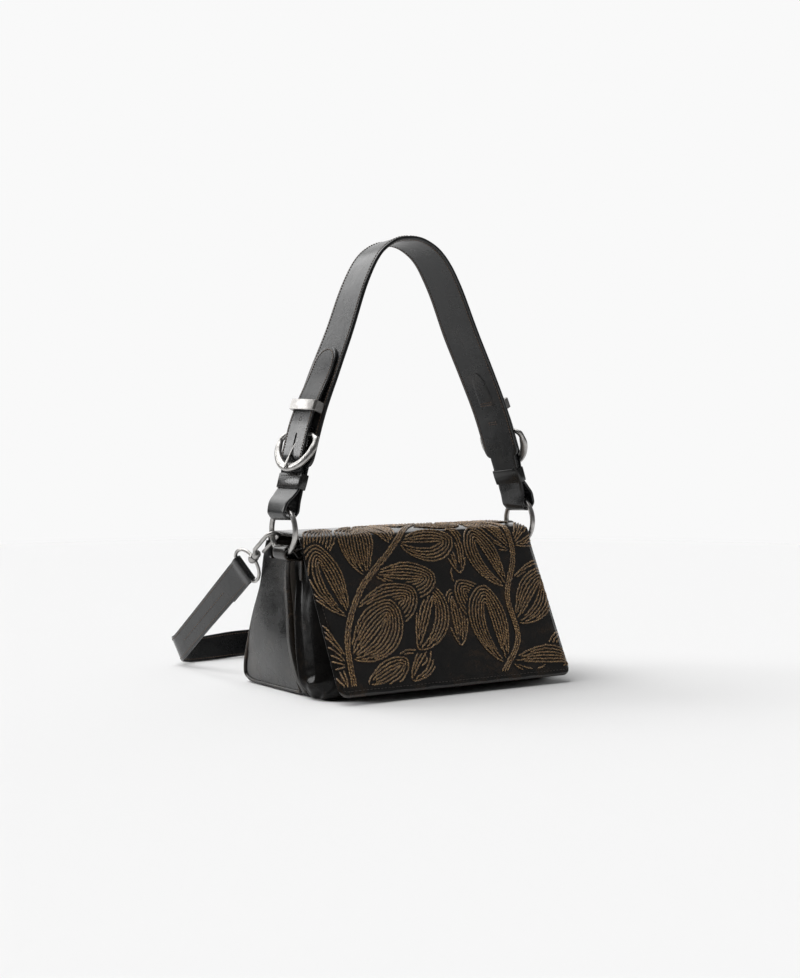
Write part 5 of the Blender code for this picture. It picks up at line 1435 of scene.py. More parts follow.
def tail_offset(along):
    """How far outward the folded-over tail lies as it passes over the buckle bar."""
    base = HANDLE_THICK / 2 + SEAT_GAP + TAIL_THICK / 2
    top = bar_offset() + eye_radius() + SEAT_GAP + TAIL_PRESSED / 2
    return base + (top - base) * tail_rise(along)


def tail_rise(along):
    """Share of the way up to the buckle bar that the tail has climbed."""
    return ease(along, BULGE_RISE_FROM, BULGE_RISE_TO) - ease(along, BULGE_FALL_FROM, BULGE_FALL_TO)


def tail_thick(along):
    """Thickness of the tail, pressed thinner over the bar."""
    return TAIL_THICK + (TAIL_PRESSED - TAIL_THICK) * tail_rise(along)


def eye_radius():
    """Outer radius of the prong's eye."""
    return BUCKLE_BAR_RADIUS + RUN_GAP + PRONG_EYE_WALL


def bar_offset():
    """How far outward the buckle's bar lies."""
    return HANDLE_THICK / 2 + SEAT_GAP + eye_radius()


def rim_offset():
    """How far outward the buckle's rim lies where it crosses the tail."""
    return tail_offset(BUCKLE_RIM_AT) + TAIL_THICK / 2 + BUCKLE_RIM_LIFT + BUCKLE_RIM_THICK


def make_handle(legs):
    """The wide strap with its edge stitching and its two tongue-shaped patches."""
    count = 74
    halves = []
    for leg in legs:
        stations = [BUTT_AT, (BUTT_AT + leg.shoulder) / 2, leg.shoulder]
        stations += [leg.shoulder + SHOULDER_LONG * share for share in (0.02, 0.06, 0.13, 0.25, 0.4, 0.6, 0.8, 1.0)]
        first = stations[-1]
        stations += [first + (leg.length - first) * step / count for step in range(1, count)]
        halves.append([leg.band_ring(along, handle_half_width(along, leg), 0.0, HANDLE_THICK) for along in stations])
    solid("handle_wide_strap", halves[0] + halves[1][::-1], STRAP_LEATHER, "handle", "strap_leather",
          ("handle_strap",))

    rows = Builder()
    for leg, edge, face in product(legs, (-1, 1), (-1, 1)):
        def spot(along, leg=leg, edge=edge, face=face):
            across = edge * (handle_half_width(along, leg) - STITCH_INSET)
            return leg.place(along, across, face * HANDLE_THICK / 2), leg.normal(along) * face

        stitch_row(rows, spot, leg.shoulder + SHOULDER_LONG * 1.1, legs[0].length - 0.0005)
    for leg, (side, _) in zip(legs, SIDES):
        make_tongue(rows, leg, side)
    rows.make("handle_stitches", [BROWN_THREAD], "handle", "strap_leather")


def make_tongue(rows, leg, side):
    """Pressed tongue-shaped patch and two sewn cross bars on the leg's inner face."""
    face = HANDLE_THICK / 2
    rings = []
    for share in (0.0, 0.02, 0.12, 0.30, 0.45, 0.58, 0.70, 0.80, 0.88, 0.94, 0.98, 1.0):
        point = max(share - 0.40, 0.0) / 0.60
        width = TONGUE_HALF_WIDTH * (1.0 - 0.12 * share) * math.sqrt(max(1.0 - point ** 2.4, 0.004))
        thick = TONGUE_THICK * (0.4 if share in (0.0, 1.0) else 1.0)
        rings.append(leg.band_ring(TONGUE_FROM + (TONGUE_TO - TONGUE_FROM) * share, width, -face, thick, count=8))
    solid(f"tongue_patch_{side}", rings, STRAP_LEATHER, "handle", "strap_leather")
    patch_face = face + TONGUE_THICK / 2
    bars = (
        (TONGUE_FROM + 0.0012, TONGUE_BAR_SHARE, patch_face), (TONGUE_FROM + 0.0034, TONGUE_BAR_SHARE, patch_face),
        (SECOND_BAR_AT, SECOND_BAR_SHARE, face), (SECOND_BAR_AT + 0.0020, SECOND_BAR_SHARE, face),
    )
    for along, wide, level in bars:
        def under(point, level=level):
            place, normal = leg.on_face(point, -level)
            return place, normal * -1

        stitch_bar(rows, along, TONGUE_HALF_WIDTH * wide, under, pitch=0.0022, long=0.0018,
                   radius=BAR_STITCH_RADIUS)


def make_handle_end(side, leg):
    """Strip that loops round the ring and runs up over the buckle to a rounded tip."""
    half = HANDLE_END_WIDTH / 2
    inner_offset = -(HANDLE_THICK - TAIL_THICK) / 2
    rings = [leg.band_ring(along, half, inner_offset, TAIL_THICK)
             for along in (BUTT_AT - SEAT_GAP, BUTT_AT * 0.7, BUTT_AT * 0.4, 0.0)]
    bore_floor = math.sqrt((RING_RADIUS - RING_WIRE) ** 2 - (LOOP_WIDTH / 2) ** 2) - SEAT_GAP
    top = bore_floor + LOOP_RADIUS
    loop = [Vector((x, h, 0.0)) for x, h in arc((RING_X, top), LOOP_RADIUS + TAIL_THICK / 2, 180.0, 360.0, 8)]
    point_in, _, normal_in = leg.frame(0.0)
    start = point_in + normal_in * inner_offset
    finish = point_in + normal_in * tail_offset(0.0)
    path = [start, start.lerp(loop[0], 0.5) + Vector((LOOP_RADIUS / 8, 0.0, 0.0)), *loop]
    path += [loop[-1].lerp(finish, 0.35) + Vector((LOOP_RADIUS / 3, LOOP_RADIUS / 4, 0.0))]
    path += [loop[-1].lerp(finish, 0.7) + Vector((LOOP_RADIUS / 5, 0.0, 0.0)), finish]
    fine = spline(path, 4)
    last = len(fine) - 1
    flat_out = Vector((normal_in.x, normal_in.y, 0.0)).normalized()
    for index in range(2, last - 1):
        tangent = step_at(fine, index).normalized()
        normal = Vector((-tangent.y, tangent.x, 0.0)) * -1.0
        if index <= last / 2:
            share = 1.0 - ease(index, 0, last / 3)
        else:
            share = ease(index, last * 2 / 3, last)
        angle = math.radians(leg.twist[0][1]) * share
        near = half + (LOOP_WIDTH / 2 - half) * (1.0 - share)
        wide = UP * math.cos(angle) + flat_out * math.sin(angle)
        spots = [fine[index] + wide * across + normal * -out
                 for across, out in rounded_section(near, TAIL_THICK, TAIL_THICK * CORNER_SHARE, 12)]
        rings.append([leg.to_space(*spot) for spot in spots])
    tail_from = TAIL_TIP_AT - TAIL_TIP_LONG
    steps = 50
    stations = [0.0, 0.003, 0.007, 0.011, 0.015, 0.019, 0.023]
    stations += [0.023 + (tail_from - 0.023) * step / steps for step in range(1, steps + 1)]
    for along in stations:
        narrow = half + (TAIL_WIDTH / 2 - half) * ease(along, TAIL_WIDEN_FROM, TAIL_WIDEN_TO)
        rings.append(leg.band_ring(along, narrow, tail_offset(along), tail_thick(along)))
    for share in (0.2, 0.4, 0.55, 0.7, 0.8, 0.88, 0.94, 0.98, 1.0):
        width = TAIL_WIDTH / 2 * math.sqrt(max(1.0 - (share * 0.985) ** 2, 0.0))
        rings.append(leg.band_ring(tail_from + TAIL_TIP_LONG * share, width, tail_offset(tail_from), TAIL_THICK))
    item = solid(f"handle_tail_{side}", align_rings(rings), STRAP_LEATHER, "handle", "strap_leather",
                 (f"handle_end_{side}",))
    cut_slot(item, side, leg)

    reach = TAIL_WIDTH / 2 - STITCH_INSET * 0.8
    outline = [(STITCHED_FROM, -reach), (tail_from, -reach)]
    for degrees in (60, 30, 0, -30, -60):
        angle = math.radians(degrees)
        outline.append((tail_from + (TAIL_TIP_LONG - STITCH_INSET) * math.cos(angle), -reach * math.sin(angle)))
    outline += [(tail_from, reach), (STITCHED_FROM, reach)]
    route = Route([(along, across, 0.0) for along, across in outline])

    def on_tail(distance):
        point = route.point(distance)
        return leg.on_face(point, tail_offset(point.x) + tail_thick(point.x) / 2)

    rows = Builder()
    stitch_row(rows, on_tail, 0.0, route.length, pitch=0.0024, long=0.0017, radius=BAR_STITCH_RADIUS)
    rows.make(f"tail_stitches_{side}", [BROWN_THREAD], "handle", "strap_leather")

    normal = leg.normal(HOLE_AT)
    rim = []
    for radius, out in HOLE_RIM:
        level = []
        for angle in turns(20):
            along = HOLE_AT + radius * math.sin(angle)
            spot = leg.place(along, radius * math.cos(angle), tail_offset(along) + tail_thick(along) / 2)
            level.append(spot + normal * out)
        rim.append(level)
    solid(f"tail_hole_{side}", rim, RAW_EDGE, "handle", "strap_leather")


def align_rings(rings):
    """Turns or flips each ring so that it follows on from the one before without a twist."""
    result = [rings[0]]
    for ring in rings[1:]:
        before = result[-1]
        count = len(ring)
        best = None
        for candidate, shift in product((ring, ring[::-1]), range(count)):
            total = 0.0
            for index in range(0, count, 4):
                total += (candidate[(index + shift) % count] - before[index]).length_squared
            if best is None or total < best[0]:
                best = (total, candidate, shift)
        _, candidate, shift = best
        result.append([candidate[(index + shift) % count] for index in range(count)])
    return result


def cut_slot(item, side, leg):
    """Long hole in the tail for the prong."""
    rings = []
    count = 12
    deep = PRONG_SLOT_DEEP
    for step in range(count + 1):
        share = step / count
        along = PRONG_SLOT_FROM + (PRONG_SLOT_TO - PRONG_SLOT_FROM) * share
        half = PRONG_SLOT_WIDTH / 2 * math.sqrt(max(1 - (2 * share - 1) ** 12, 0.3))
        rings.append([leg.place(along, across, tail_offset(along) + out)
                      for across, out in ((-half, -deep), (half, -deep), (half, deep), (-half, deep))])
    tool = solid(f"slot_tool_{side}", rings, RAW_EDGE, "handle", None)
    change = item.modifiers.new("slot", "BOOLEAN")
    change.operation = "DIFFERENCE"
    change.solver = "EXACT"
    change.object = tool
    bpy.context.view_layer.update()
    graph = bpy.context.evaluated_depsgraph_get()
    cut_mesh = bpy.data.meshes.new_from_object(item.evaluated_get(graph))
    item.modifiers.clear()
    item.data = cut_mesh
    item.data.shade_smooth()
    item.data.set_sharp_from_angle(angle=math.radians(35.0))
    bpy.data.objects.remove(tool, do_unlink=True)


def make_buckle(side, leg):
    """Rounded horseshoe buckle and its prong."""
    long = BUCKLE_BAR_AT - BUCKLE_RIM_AT
    belly = long - BUCKLE_HALF_WIDTH
    bar_half = BUCKLE_HALF_WIDTH - BUCKLE_CORNER
    plan = [(bar_half * share, 0.0, 0.0) for share in (-1.0, -0.5, 0.0, 0.5, 1.0)]
    plan += [(across, down - belly + belly * 0.9, 0.6)
             for across, down in arc((bar_half, belly), BUCKLE_CORNER, -60.0, 0.0, 3)[1:]]
    plan += [(across, down, 1.0) for across, down in arc((0.0, belly), BUCKLE_HALF_WIDTH, 10.0, 170.0, 16)]
    plan += [(across, down - belly + belly * 0.9, 0.6)
             for across, down in arc((-bar_half, belly), BUCKLE_CORNER, 180.0, 240.0, 3)[:-1]]
    points = []
    sizes = []
    for across, down, share in plan:
        outward = bar_offset() + (rim_offset() - bar_offset()) * down / long
        points.append(leg.place(BUCKLE_BAR_AT - down, across, outward))
        sizes.append(tuple(BUCKLE_BAR_RADIUS + (full - BUCKLE_BAR_RADIUS) * share
                           for full in (BUCKLE_RIM_WIDE, BUCKLE_RIM_THICK)))
    centre = sum(points, Vector()) / len(points)
    across = (points[len(points) // 2] - centre).cross(points[0] - centre).normalized()
    # The curve runs on by two points at each end; their samples and the last point's are cut off again
    wrapped = [*points[-2:], *points, *points[:2]]
    line, radii = smooth_path(wrapped, [*sizes[-2:], *sizes, *sizes[:2]], 4)
    solid(f"buckle_frame_{side}", tube_rings(line[8:-9], radii[8:-9], 20, across, closed=True), GUNMETAL, "handle",
          "gunmetal", (f"buckle_{side}",), smooth=50.0, closed=True)

    inner = BUCKLE_BAR_RADIUS + RUN_GAP
    rise = rim_offset() + BUCKLE_RIM_THICK + SEAT_GAP + PRONG_HALF_THICK - bar_offset()
    lean = math.atan2(rise, long)
    eye_line = inner + PRONG_EYE_WALL / 2
    path = []
    radii = []
    for degrees in range(-100, int(math.degrees(lean)) - 24, 12):
        angle = math.radians(degrees)
        path.append((eye_line * math.cos(angle), eye_line * math.sin(angle)))
        radii.append((PRONG_EYE_WALL / 2, PRONG_HALF_WIDTH))
    start = inner + PRONG_EYE_WALL
    for share in (0.0, 0.15, 0.40, 0.64, 0.72, 0.90, 1.0):
        distance = start + (math.hypot(rise, long) + BUCKLE_RIM_WIDE / 2 - start) * share
        bow = PRONG_BOW * math.sin(math.pi * share)
        path.append((distance * math.cos(lean) - bow * math.sin(lean),
                     distance * math.sin(lean) + bow * math.cos(lean)))
        radii.append((PRONG_HALF_THICK * (1.0 + 0.15 * math.sin(math.pi * share)), table_value(PRONG_WIDTHS, share)))
    points = [leg.place(BUCKLE_BAR_AT - down, 0.0, bar_offset() + out) for down, out in path]
    side_way = (leg.place(BUCKLE_BAR_AT, 0.01, 0.0) - leg.place(BUCKLE_BAR_AT, 0.0, 0.0)).normalized()
    line, fine = smooth_path(points, radii, 3)
    solid(f"buckle_tongue_{side}", tube_rings(line, fine, 14, side_way), GUNMETAL, f"prong_{side}", "gunmetal",
          (f"prong_{side}",), smooth=50.0)


def make_leather_keeper(side, leg):
    """Sewn leather band that holds both layers just above the fold."""
    half = HANDLE_END_WIDTH / 2 + SEAT_GAP
    low = -HANDLE_THICK / 2 - SEAT_GAP
    high = tail_offset(0.0) + TAIL_THICK / 2 + SEAT_GAP
    wall = LEATHER_KEEPER_THICK
    round_by = LEATHER_KEEPER_CORNER
    path = []
    for cx, cy, start in ((half - round_by, high - round_by, 90), (half - round_by, low + round_by, 0),
                          (round_by - half, low + round_by, -90), (round_by - half, high - round_by, -180)):
        path += [(x, y, x - cx, y - cy) for x, y in arc((cx, cy), round_by, start, start - 90, 4)]
    start = LEATHER_KEEPER_AT
    end = start + LEATHER_KEEPER_LONG
    section = ((start + 0.0003, 0.0), (end - 0.0003, 0.0), (end, 0.25), (end, 0.75), (end - 0.0004, 1.0),
               ((start + end) / 2, 1.12), (start + 0.0004, 1.0), (start, 0.75), (start, 0.25))
    rings = []
    for x, y, nx, ny in path:
        out = Vector((nx, ny)).normalized()
        rings.append([leg.place(along, x + out.x * wall * depth, y + out.y * wall * depth)
                      for along, depth in section])
    solid(f"keeper_band_{side}", rings, STRAP_LEATHER, "handle", "strap_leather", (f"leather_keeper_{side}",),
          smooth=50.0, closed=True)
    rows = Builder()
    for along in (start + 0.0022, end - 0.0022):
        stitch_bar(rows, along, half * 0.86, lambda point: leg.on_face(point, high + wall * 1.02), pitch=0.0029,
                   long=0.0020, radius=THIN_STITCH_RADIUS)
    rows.make(f"keeper_stitches_{side}", [DARK_THREAD], "handle", "strap_leather")


def make_metal_keeper(side, leg):
    """Metal bridge that holds the folded-over end strip down."""
    wall = METAL_KEEPER_WALL
    plate = METAL_KEEPER_PLATE
    inside = TAIL_WIDTH / 2 + METAL_KEEPER_SIDE_GAP
    outside = inside + wall
    base = HANDLE_THICK / 2 + SEAT_GAP
    ceiling = tail_offset(METAL_KEEPER_AT) + TAIL_THICK / 2 + SEAT_GAP
    line = [
        (-outside - wall, base), (-inside, base), (-inside, ceiling), (inside, ceiling), (inside, base),
        (outside + wall, base), (outside + 0.0008, ceiling + plate * 0.35),
        (outside - 0.0006, ceiling + plate * 0.92), (outside - 0.0012, ceiling + plate),
        (0.0, ceiling + plate * 1.04), (0.0012 - outside, ceiling + plate),
        (0.0006 - outside, ceiling + plate * 0.92), (-outside - 0.0008, ceiling + plate * 0.35),
    ]
    rings = []
    for share, trim in ((0.0, METAL_KEEPER_TRIM), (0.04, 0.0), (0.5, 0.0), (0.96, 0.0), (1.0, METAL_KEEPER_TRIM)):
        along = METAL_KEEPER_AT + METAL_KEEPER_LONG * share
        rings.append([leg.place(along, across - math.copysign(trim, across),
                                out - (trim if out > ceiling + wall * 0.5 else 0.0)) for across, out in line])
    solid(f"keeper_bridge_{side}", rings, GUNMETAL, "handle", "gunmetal", (f"metal_keeper_{side}",), smooth=30.0)


# Hooks and strap loops

def hook_frame(sign):
    """Centre of the hook's bend, and its directions."""
    along = Vector((0.0, math.cos(HOOK_PITCH), -math.sin(HOOK_PITCH)))
    out = Vector((sign, 0.0, 0.0))
    normal = along.cross(out)
    y = RING_Y + RING_RADIUS * math.cos(HOOK_RING_ANGLE)
    z = RING_Z + RING_RADIUS * math.sin(HOOK_RING_ANGLE)
    pull = HOOK_HALF - HOOK_WIRE - RING_WIRE - HOOK_PLAY
    return Vector((sign * RING_X, y, z)) + along * pull, along, out, normal


def strap_across(sign):
    """Direction from the lower to the upper edge of the strap where it meets its loop."""
    _, along, out, _ = hook_frame(sign)
    up = Vector((0.0, -along.z, along.y))
    return up * math.cos(STRAP_LOOP_ROLL) + out * math.sin(STRAP_LOOP_ROLL)


def make_hook(side, sign):
    """Snap hook and its gate."""
    wire_at, along, out, normal = hook_frame(sign)

    def spot(distance, outward):
        return wire_at + along * distance + out * outward

    head_end = HOOK_BLOCK_AT + HOOK_BLOCK_LONG + HOOK_NECK_LONG + HOOK_HEAD_LONG
    neck_end = head_end - HOOK_HEAD_LONG
    block_end = HOOK_BLOCK_AT + HOOK_BLOCK_LONG
    stem = Builder()
    turned_profile = [
        (head_end, HOOK_HEAD_RADIUS * 0.55), (head_end - 0.0004, HOOK_HEAD_RADIUS * 0.9),
        (head_end - 0.0010, HOOK_HEAD_RADIUS), (neck_end + 0.0001, HOOK_HEAD_RADIUS),
        (neck_end, HOOK_NECK_RADIUS), (block_end, HOOK_NECK_RADIUS),
        (block_end - 0.0001, HOOK_BLOCK_RADIUS * 0.94), (block_end - 0.0006, HOOK_BLOCK_RADIUS),
        (HOOK_BLOCK_AT + 0.0012, HOOK_BLOCK_RADIUS), (HOOK_BLOCK_AT, HOOK_BLOCK_RADIUS * 0.93),
        (HOOK_BLOCK_AT - 0.0014, HOOK_BLOCK_RADIUS * 0.70),
    ]
    points = [spot(distance, 0.0) for distance, _ in turned_profile]
    stem.skin(tube_rings(points, [radius for _, radius in turned_profile], 20, normal))
    bend = arc((0.0, 0.0), HOOK_HALF, 90.0, 270.0, 10)
    path = [(HOOK_BLOCK_AT + 0.001, HOOK_HALF * 0.10), (HOOK_BLOCK_AT - HOOK_WIRE, HOOK_HALF * 0.45)]
    path += [(HOOK_BAR_LONG + HOOK_WIRE, HOOK_HALF * 0.85), (HOOK_BAR_LONG, HOOK_HALF)]
    path += [(HOOK_BAR_LONG / 2, HOOK_HALF), *bend, (HOOK_TIP_LONG * 0.8, -HOOK_HALF), (HOOK_TIP_LONG, -HOOK_HALF)]
    sizes = [HOOK_BLOCK_RADIUS * 0.70, HOOK_BLOCK_RADIUS * 0.66, HOOK_WIRE * 1.15, HOOK_WIRE, HOOK_WIRE]
    sizes += [HOOK_WIRE] * len(bend) + [HOOK_WIRE * 0.95, HOOK_WIRE * 0.80]
    line, radii = smooth_path([spot(*place) for place in path], sizes)
    stem.skin(tube_rings(line, radii, 18, normal))
    stem.make(f"snap_hook_{side}", [GUNMETAL], f"hook_{side}", "gunmetal", (f"hook_{side}",), smooth=45.0)

    root = spot(GATE_ROOT_AT, -GATE_ROOT_OFFSET)
    tip = spot(HOOK_TIP_LONG + SEAT_GAP * 2, -HOOK_HALF)
    path = [root + along * GATE_ROOT_RADIUS * 0.8, root, root.lerp(tip, 0.5), root.lerp(tip, 0.97), tip]
    sizes = [GATE_ROOT_RADIUS * 0.6, GATE_ROOT_RADIUS, GATE_TIP_RADIUS, GATE_TIP_RADIUS, GATE_TIP_RADIUS * 0.7]
    line, radii = smooth_path(path, sizes)
    solid(f"snap_gate_{side}", tube_rings(line, radii, 14, normal), GUNMETAL, f"hook_gate_{side}", "gunmetal",
          (f"hook_gate_{side}",), smooth=45.0)


def make_strap_loop(side, sign):
    """Loop that carries the strap, with the boss that turns on the hook's neck."""
    wire_at, along, _, _ = hook_frame(sign)
    boss_from = HOOK_BLOCK_AT + HOOK_BLOCK_LONG + SEAT_GAP
    boss_inner = HOOK_NECK_RADIUS + RUN_GAP
    boss_outer = boss_inner + BOSS_WALL
    upward = strap_across(sign)
    face = along.cross(upward)
    section = ((0.0, boss_inner), (BOSS_LONG, boss_inner), (BOSS_LONG, boss_outer - 0.0004),
               (BOSS_LONG - 0.0005, boss_outer), (0.0005, boss_outer), (0.0, boss_outer - 0.0004))
    washer = []
    for angle in turns(24):
        ray = upward * math.cos(angle) + face * math.sin(angle)
        washer.append([wire_at + along * (boss_from + distance) + ray * radius for distance, radius in section])
    loop = Builder()
    loop.skin(washer, closed=True)
    arm = boss_from + BOSS_LONG / 2
    deep = STRAP_LOOP_BAR_AT - arm
    plan = [(arm, (boss_inner + boss_outer) / 2)]
    plan += [(arm + deep * share, STRAP_LOOP_HALF * wide) for share, wide in STRAP_LOOP_SHARES]
    plan += [(distance, -across) for distance, across in plan[::-1]]
    route = [wire_at + along * distance + upward * across for distance, across in plan]
    line, radii = smooth_path(route, [STRAP_LOOP_WIRE] * len(route))
    loop.skin(tube_rings(line, radii, 14, face))
    loop.make(f"swivel_loop_{side}", [GUNMETAL], "bag", "gunmetal", (f"strap_loop_{side}",), smooth=45.0)


# Crossbody strap

def strap_route():
    """Centre line of the crossbody strap, from the left loop's bar to the right loop's bar."""
    floor = STRAP_FLOOR_GAP + STRAP_WIDTH / 2
    left_at, along, _, _ = hook_frame(-1)
    right_at, _, _, _ = hook_frame(1)
    turn = STRAP_TURN_RADIUS
    left = left_at + along * STRAP_LOOP_BAR_AT
    right = right_at + along * STRAP_LOOP_BAR_AT
    curl = STRAP_CURL_RADIUS
    start = left + along * STRAP_STRAIGHT
    drop = (start.z - STRAP_CURL_HEIGHT) / (STRAP_CURL_LAND_Y + curl * HALF - start.y)
    land = Vector((left.x, STRAP_CURL_LAND_Y, STRAP_CURL_HEIGHT + drop * curl * HALF))
    points = [start, start.lerp(land, 0.25), start.lerp(land, 0.5), start.lerp(land, 0.75), land]
    for degrees in (22, 45, 68, 90):
        angle = math.radians(degrees)
        points.append(land + Vector((curl * (1 - math.cos(angle)), curl * math.sin(angle),
                                     -drop * curl * HALF * math.sin(angle))))
    end = points[-1]
    for share in (0.25, 0.5, 0.75):
        mild = ease(share, 0.0, 1.0)
        points.append(Vector((end.x + 0.060 * share, end.y + (STRAP_BACK_Y - end.y) * mild,
                              end.z + (floor - end.z) * mild)))
    row = STRAP_ROW_PITCH / 2
    rear = STRAP_BACK_Y
    points += flat_line(end.x + 0.065, STRAP_ROW_RIGHT_X, rear, 4, floor)
    points += flat_arc((STRAP_ROW_RIGHT_X, rear - row), row, 60.0, -60.0, 4, floor)
    points += flat_line(STRAP_ROW_RIGHT_X, STRAP_ROW_LEFT_X, rear - 2 * row, 3, floor)
    points += flat_arc((STRAP_ROW_LEFT_X, rear - 3 * row), row, 120.0, 240.0, 4, floor)
    points += flat_line(STRAP_ROW_LEFT_X, right.x - 2 * turn, rear - 4 * row, 3, floor)
    points += flat_arc((right.x - turn, rear - 4 * row - turn), turn, 60.0, 0.0, 3, floor)
    for share, climb in ((0.0, 0.03), (0.30, 0.30), (0.62, 0.68)):
        y = STRAP_RISE_Y + (right.y - STRAP_RISE_Y) * share
        points.append(Vector((right.x, y, floor + (right.z - floor) * climb)))
    points.append(right + along * STRAP_STRAIGHT)
    return Route([left, *spline(points, 5), right])


def flat_arc(centre, radius, start, end, steps, height):
    """Arc laid on the floor."""
    return [Vector((x, y, height)) for x, y in arc(centre, radius, start, end, steps)]


def flat_line(start_x, end_x, y, steps, height):
    """Straight run laid on the floor along the width."""
    return [Vector((start_x + (end_x - start_x) * step / steps, y, height)) for step in range(steps + 1)]


def strap_frame(route, distance):
    """Point, upward edge direction and face direction of the strap."""
    point = route.point(distance)
    tangent = route.tangent(distance, STRAP_REACH)
    left_share = 1.0 - ease(distance, 0.0, STRAP_SETTLE)
    right_share = ease(distance, route.length - STRAP_SETTLE, route.length)
    rest = 1.0 - left_share - right_share
    curled = 1.0 - ease(distance, STRAP_CURL_FROM, STRAP_CURL_TO)
    upright = (Vector(STRAP_CURL_EDGE) * curled + UP * (1.0 - curled)).normalized()
    edge = strap_across(-1) * left_share + upright * rest + strap_across(1) * right_share
    edge -= tangent * edge.dot(tangent)
    edge.normalize()
    return point, edge, tangent.cross(edge).normalized()


def make_strap():
    """Flat crossbody strap and its stitching."""
    route = strap_route()
    half = STRAP_WIDTH / 2
    bend = STRAP_LOOP_WIRE + SEAT_GAP + STRAP_THICK / 2
    flat = (STRAP_THICK + SEAT_GAP) / 2
    outline = rounded_section(half, STRAP_THICK, STRAP_THICK * CORNER_SHARE, 8)

    def ring(point, edge, outward):
        spots = [point + edge * across + outward * out for across, out in outline]
        return [Vector((spot.x, spot.y, max(spot.z, 0.0))) for spot in spots]

    def offset_at(distance):
        from_end = min(distance, route.length - distance)
        return bend + (flat - bend) * ease(from_end, 0.0, STRAP_CLOSE_UP)

    def layer(distance, sign):
        point, edge, normal = strap_frame(route, distance)
        return ring(point + normal * (offset_at(distance) * sign), edge, normal * sign)

    def turn(distance, direction):
        point, edge, normal = strap_frame(route, distance)
        back = route.tangent(distance, STRAP_REACH) * direction
        result = []
        for step in range(1, 12):
            bow = math.radians(90.0 - 15.0 * step)
            ray = normal * math.sin(bow) + back * math.cos(bow)
            result.append(ring(point + ray * bend, edge, ray))
        return result

    fold = [STRAP_FOLD_LONG * (1 - step / 20) for step in range(21)]
    rings = [layer(distance, 1) for distance in fold]
    rings += turn(0.0, -1.0)
    rings += [layer(distance, -1) for distance in fold[:0:-1]]
    between = route.length - 2 * STRAP_FOLD_LONG
    count = int(between / STRAP_STEP)
    rings += [layer(STRAP_FOLD_LONG + between * step / count, -1) for step in range(count + 1)]
    rings += [layer(route.length - distance, -1) for distance in fold[1:]]
    rings += turn(route.length, 1.0)[::-1]
    rings += [layer(route.length - distance, 1) for distance in fold[::-1]]
    solid("crossbody_band", rings, STRAP_LEATHER, "bag", "strap_leather", ("crossbody_strap",))

    rows = Builder()
    for across, face in product((-half + STRAP_STITCH_INSET, half - STRAP_STITCH_INSET), (-1, 1)):
        def spot(distance, across=across, face=face):
            point, edge, normal = strap_frame(route, distance)
            centre = point - normal * offset_at(distance)
            return centre + edge * across + normal * (face * STRAP_THICK / 2), normal * face

        start = 0.006 if face < 0 else STRAP_FOLD_LONG + 0.002
        stitch_row(rows, spot, start, route.length - start, radius=THIN_STITCH_RADIUS)
    for face in (-1, 1):
        def middle_spot(distance, face=face):
            point, _, normal = strap_frame(route, distance)
            return point - normal * (offset_at(distance) - face * STRAP_THICK / 2), normal * face

        stitch_row(rows, middle_spot, STRAP_FOLD_LONG + 0.002, MIDDLE_STITCHES_TO, pitch=0.0042, long=0.0022,
                   radius=MIDDLE_STITCH_RADIUS)
    for near, length in product((True, False), (0.012, STRAP_FOLD_LONG - 0.004)):
        def cross(place, at=length if near else route.length - length):
            point, edge, normal = strap_frame(route, at)
            return point + normal * (offset_at(at) + STRAP_THICK / 2) + edge * place.y, normal

        stitch_bar(rows, 0.0, half - 0.004, cross, pitch=0.0026, long=0.0018, radius=THIN_STITCH_RADIUS)
    rows.make("crossbody_stitches", [BROWN_THREAD], "bag", "strap_leather")


# Stage, light and camera

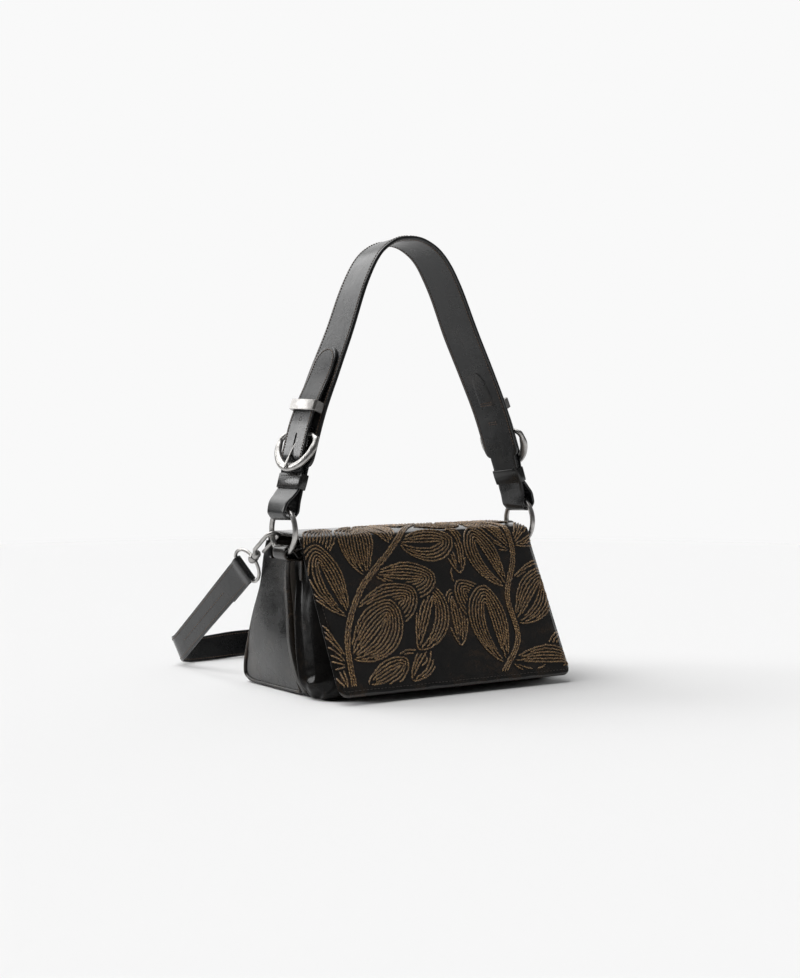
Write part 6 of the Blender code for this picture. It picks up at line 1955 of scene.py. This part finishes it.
def make_stage():
    """Pale floor, soft world light and the overhead sun lamp."""
    bpy.ops.mesh.primitive_circle_add(vertices=96, radius=FLOOR_RADIUS, fill_type="NGON",
                                      location=(0.0, 0.0, -0.0004))
    floor = bpy.context.object
    floor.name = "floor"
    paint = Finish("studio_floor")
    grain = paint.noise(3.0, 2.0, 0.5)
    tone = paint.ramp(grain, ((0.0, FLOOR_TONE * 0.995), (1.0, FLOOR_TONE)))
    paint.done(tone, 0.9, Specular_IOR_Level=0.0)
    dress(floor, paint.material)

    world = bpy.data.worlds.new("studio")
    bpy.context.scene.world = world
    world.use_nodes = True
    sky = Nodes(world.node_tree)
    place = sky.node("ShaderNodeTexCoord").outputs["Generated"]

    def glow(direction, low, high, dark, bright):
        """Brightness that rises toward a direction; low and high are cosines."""
        lean = sky.node("ShaderNodeVectorMath", {0: place, 1: Vector(direction).normalized()},
                        operation="DOT_PRODUCT")
        limits = {"From Min": low, "From Max": high, "To Min": dark, "To Max": bright}
        return sky.node("ShaderNodeMapRange", {"Value": lean.outputs["Value"], **limits},
                        interpolation_type="SMOOTHSTEP").outputs["Result"]

    total = glow(BACKDROP_WAY, 0.42, 0.92, DARK_SIDE, BACKDROP)
    for lobe in (
        glow(WINDOW_WAY, 0.982, 0.995, 0.0, WINDOW),
        glow(BACKLIGHT_WAY, 0.930, 0.985, 0.0, BACKLIGHT),
        glow(FILL_WAY, 0.60, 0.97, 0.0, FILL),
    ):
        total = sky.math("ADD", total, lobe)
    seen = sky.node("ShaderNodeLightPath").outputs["Is Camera Ray"]
    sky.fill(sky.tree.nodes["Background"], {"Color": sky.mix(seen, total, (PAPER, PAPER, PAPER)), "Strength": 1.0})

    light = bpy.data.lights.new("overhead", "SUN")
    light.energy = OVERHEAD
    light.angle = OVERHEAD_SPREAD
    item = bpy.data.objects.new("overhead", light)
    item.rotation_mode = "QUATERNION"
    item.rotation_quaternion = Vector(OVERHEAD_WAY).to_track_quat("-Z", "Y")
    bpy.context.scene.collection.objects.link(item)


def make_camera():
    """Camera at the photograph's viewing angle."""
    data = bpy.data.cameras.new("camera")
    data.lens = CAMERA_LENS
    data.sensor_width = CAMERA_SENSOR
    data.clip_start = CAMERA_NEAR
    data.clip_end = CAMERA_FAR
    item = bpy.data.objects.new("camera", data)
    forward = Vector(CAMERA_FORWARD).normalized()
    right = forward.cross(UP).normalized()
    up = right.cross(forward)
    matrix = Matrix((right, up, -forward)).transposed().to_4x4()
    matrix.translation = Vector(CAMERA_PLACE)
    item.matrix_world = matrix
    bpy.context.scene.collection.objects.link(item)
    bpy.context.scene.camera = item
    bpy.context.scene.view_settings.view_transform = "Standard"


make_stage()
make_camera()
make_rear_compartment()
for SIDE, SIGN in SIDES:
    make_gusset_edge(SIDE, SIGN)
make_front_compartment()
make_bands()
make_zip()
make_flap()
make_ornament()
LEGS = [Leg(sign) for _, sign in SIDES]
make_handle(LEGS)
for (SIDE, SIGN), LEG in zip(SIDES, LEGS):
    make_ring_and_tab(SIDE, SIGN)
    make_handle_end(SIDE, LEG)
    make_buckle(SIDE, LEG)
    make_leather_keeper(SIDE, LEG)
    make_metal_keeper(SIDE, LEG)
    make_hook(SIDE, SIGN)
    make_strap_loop(SIDE, SIGN)
make_strap()
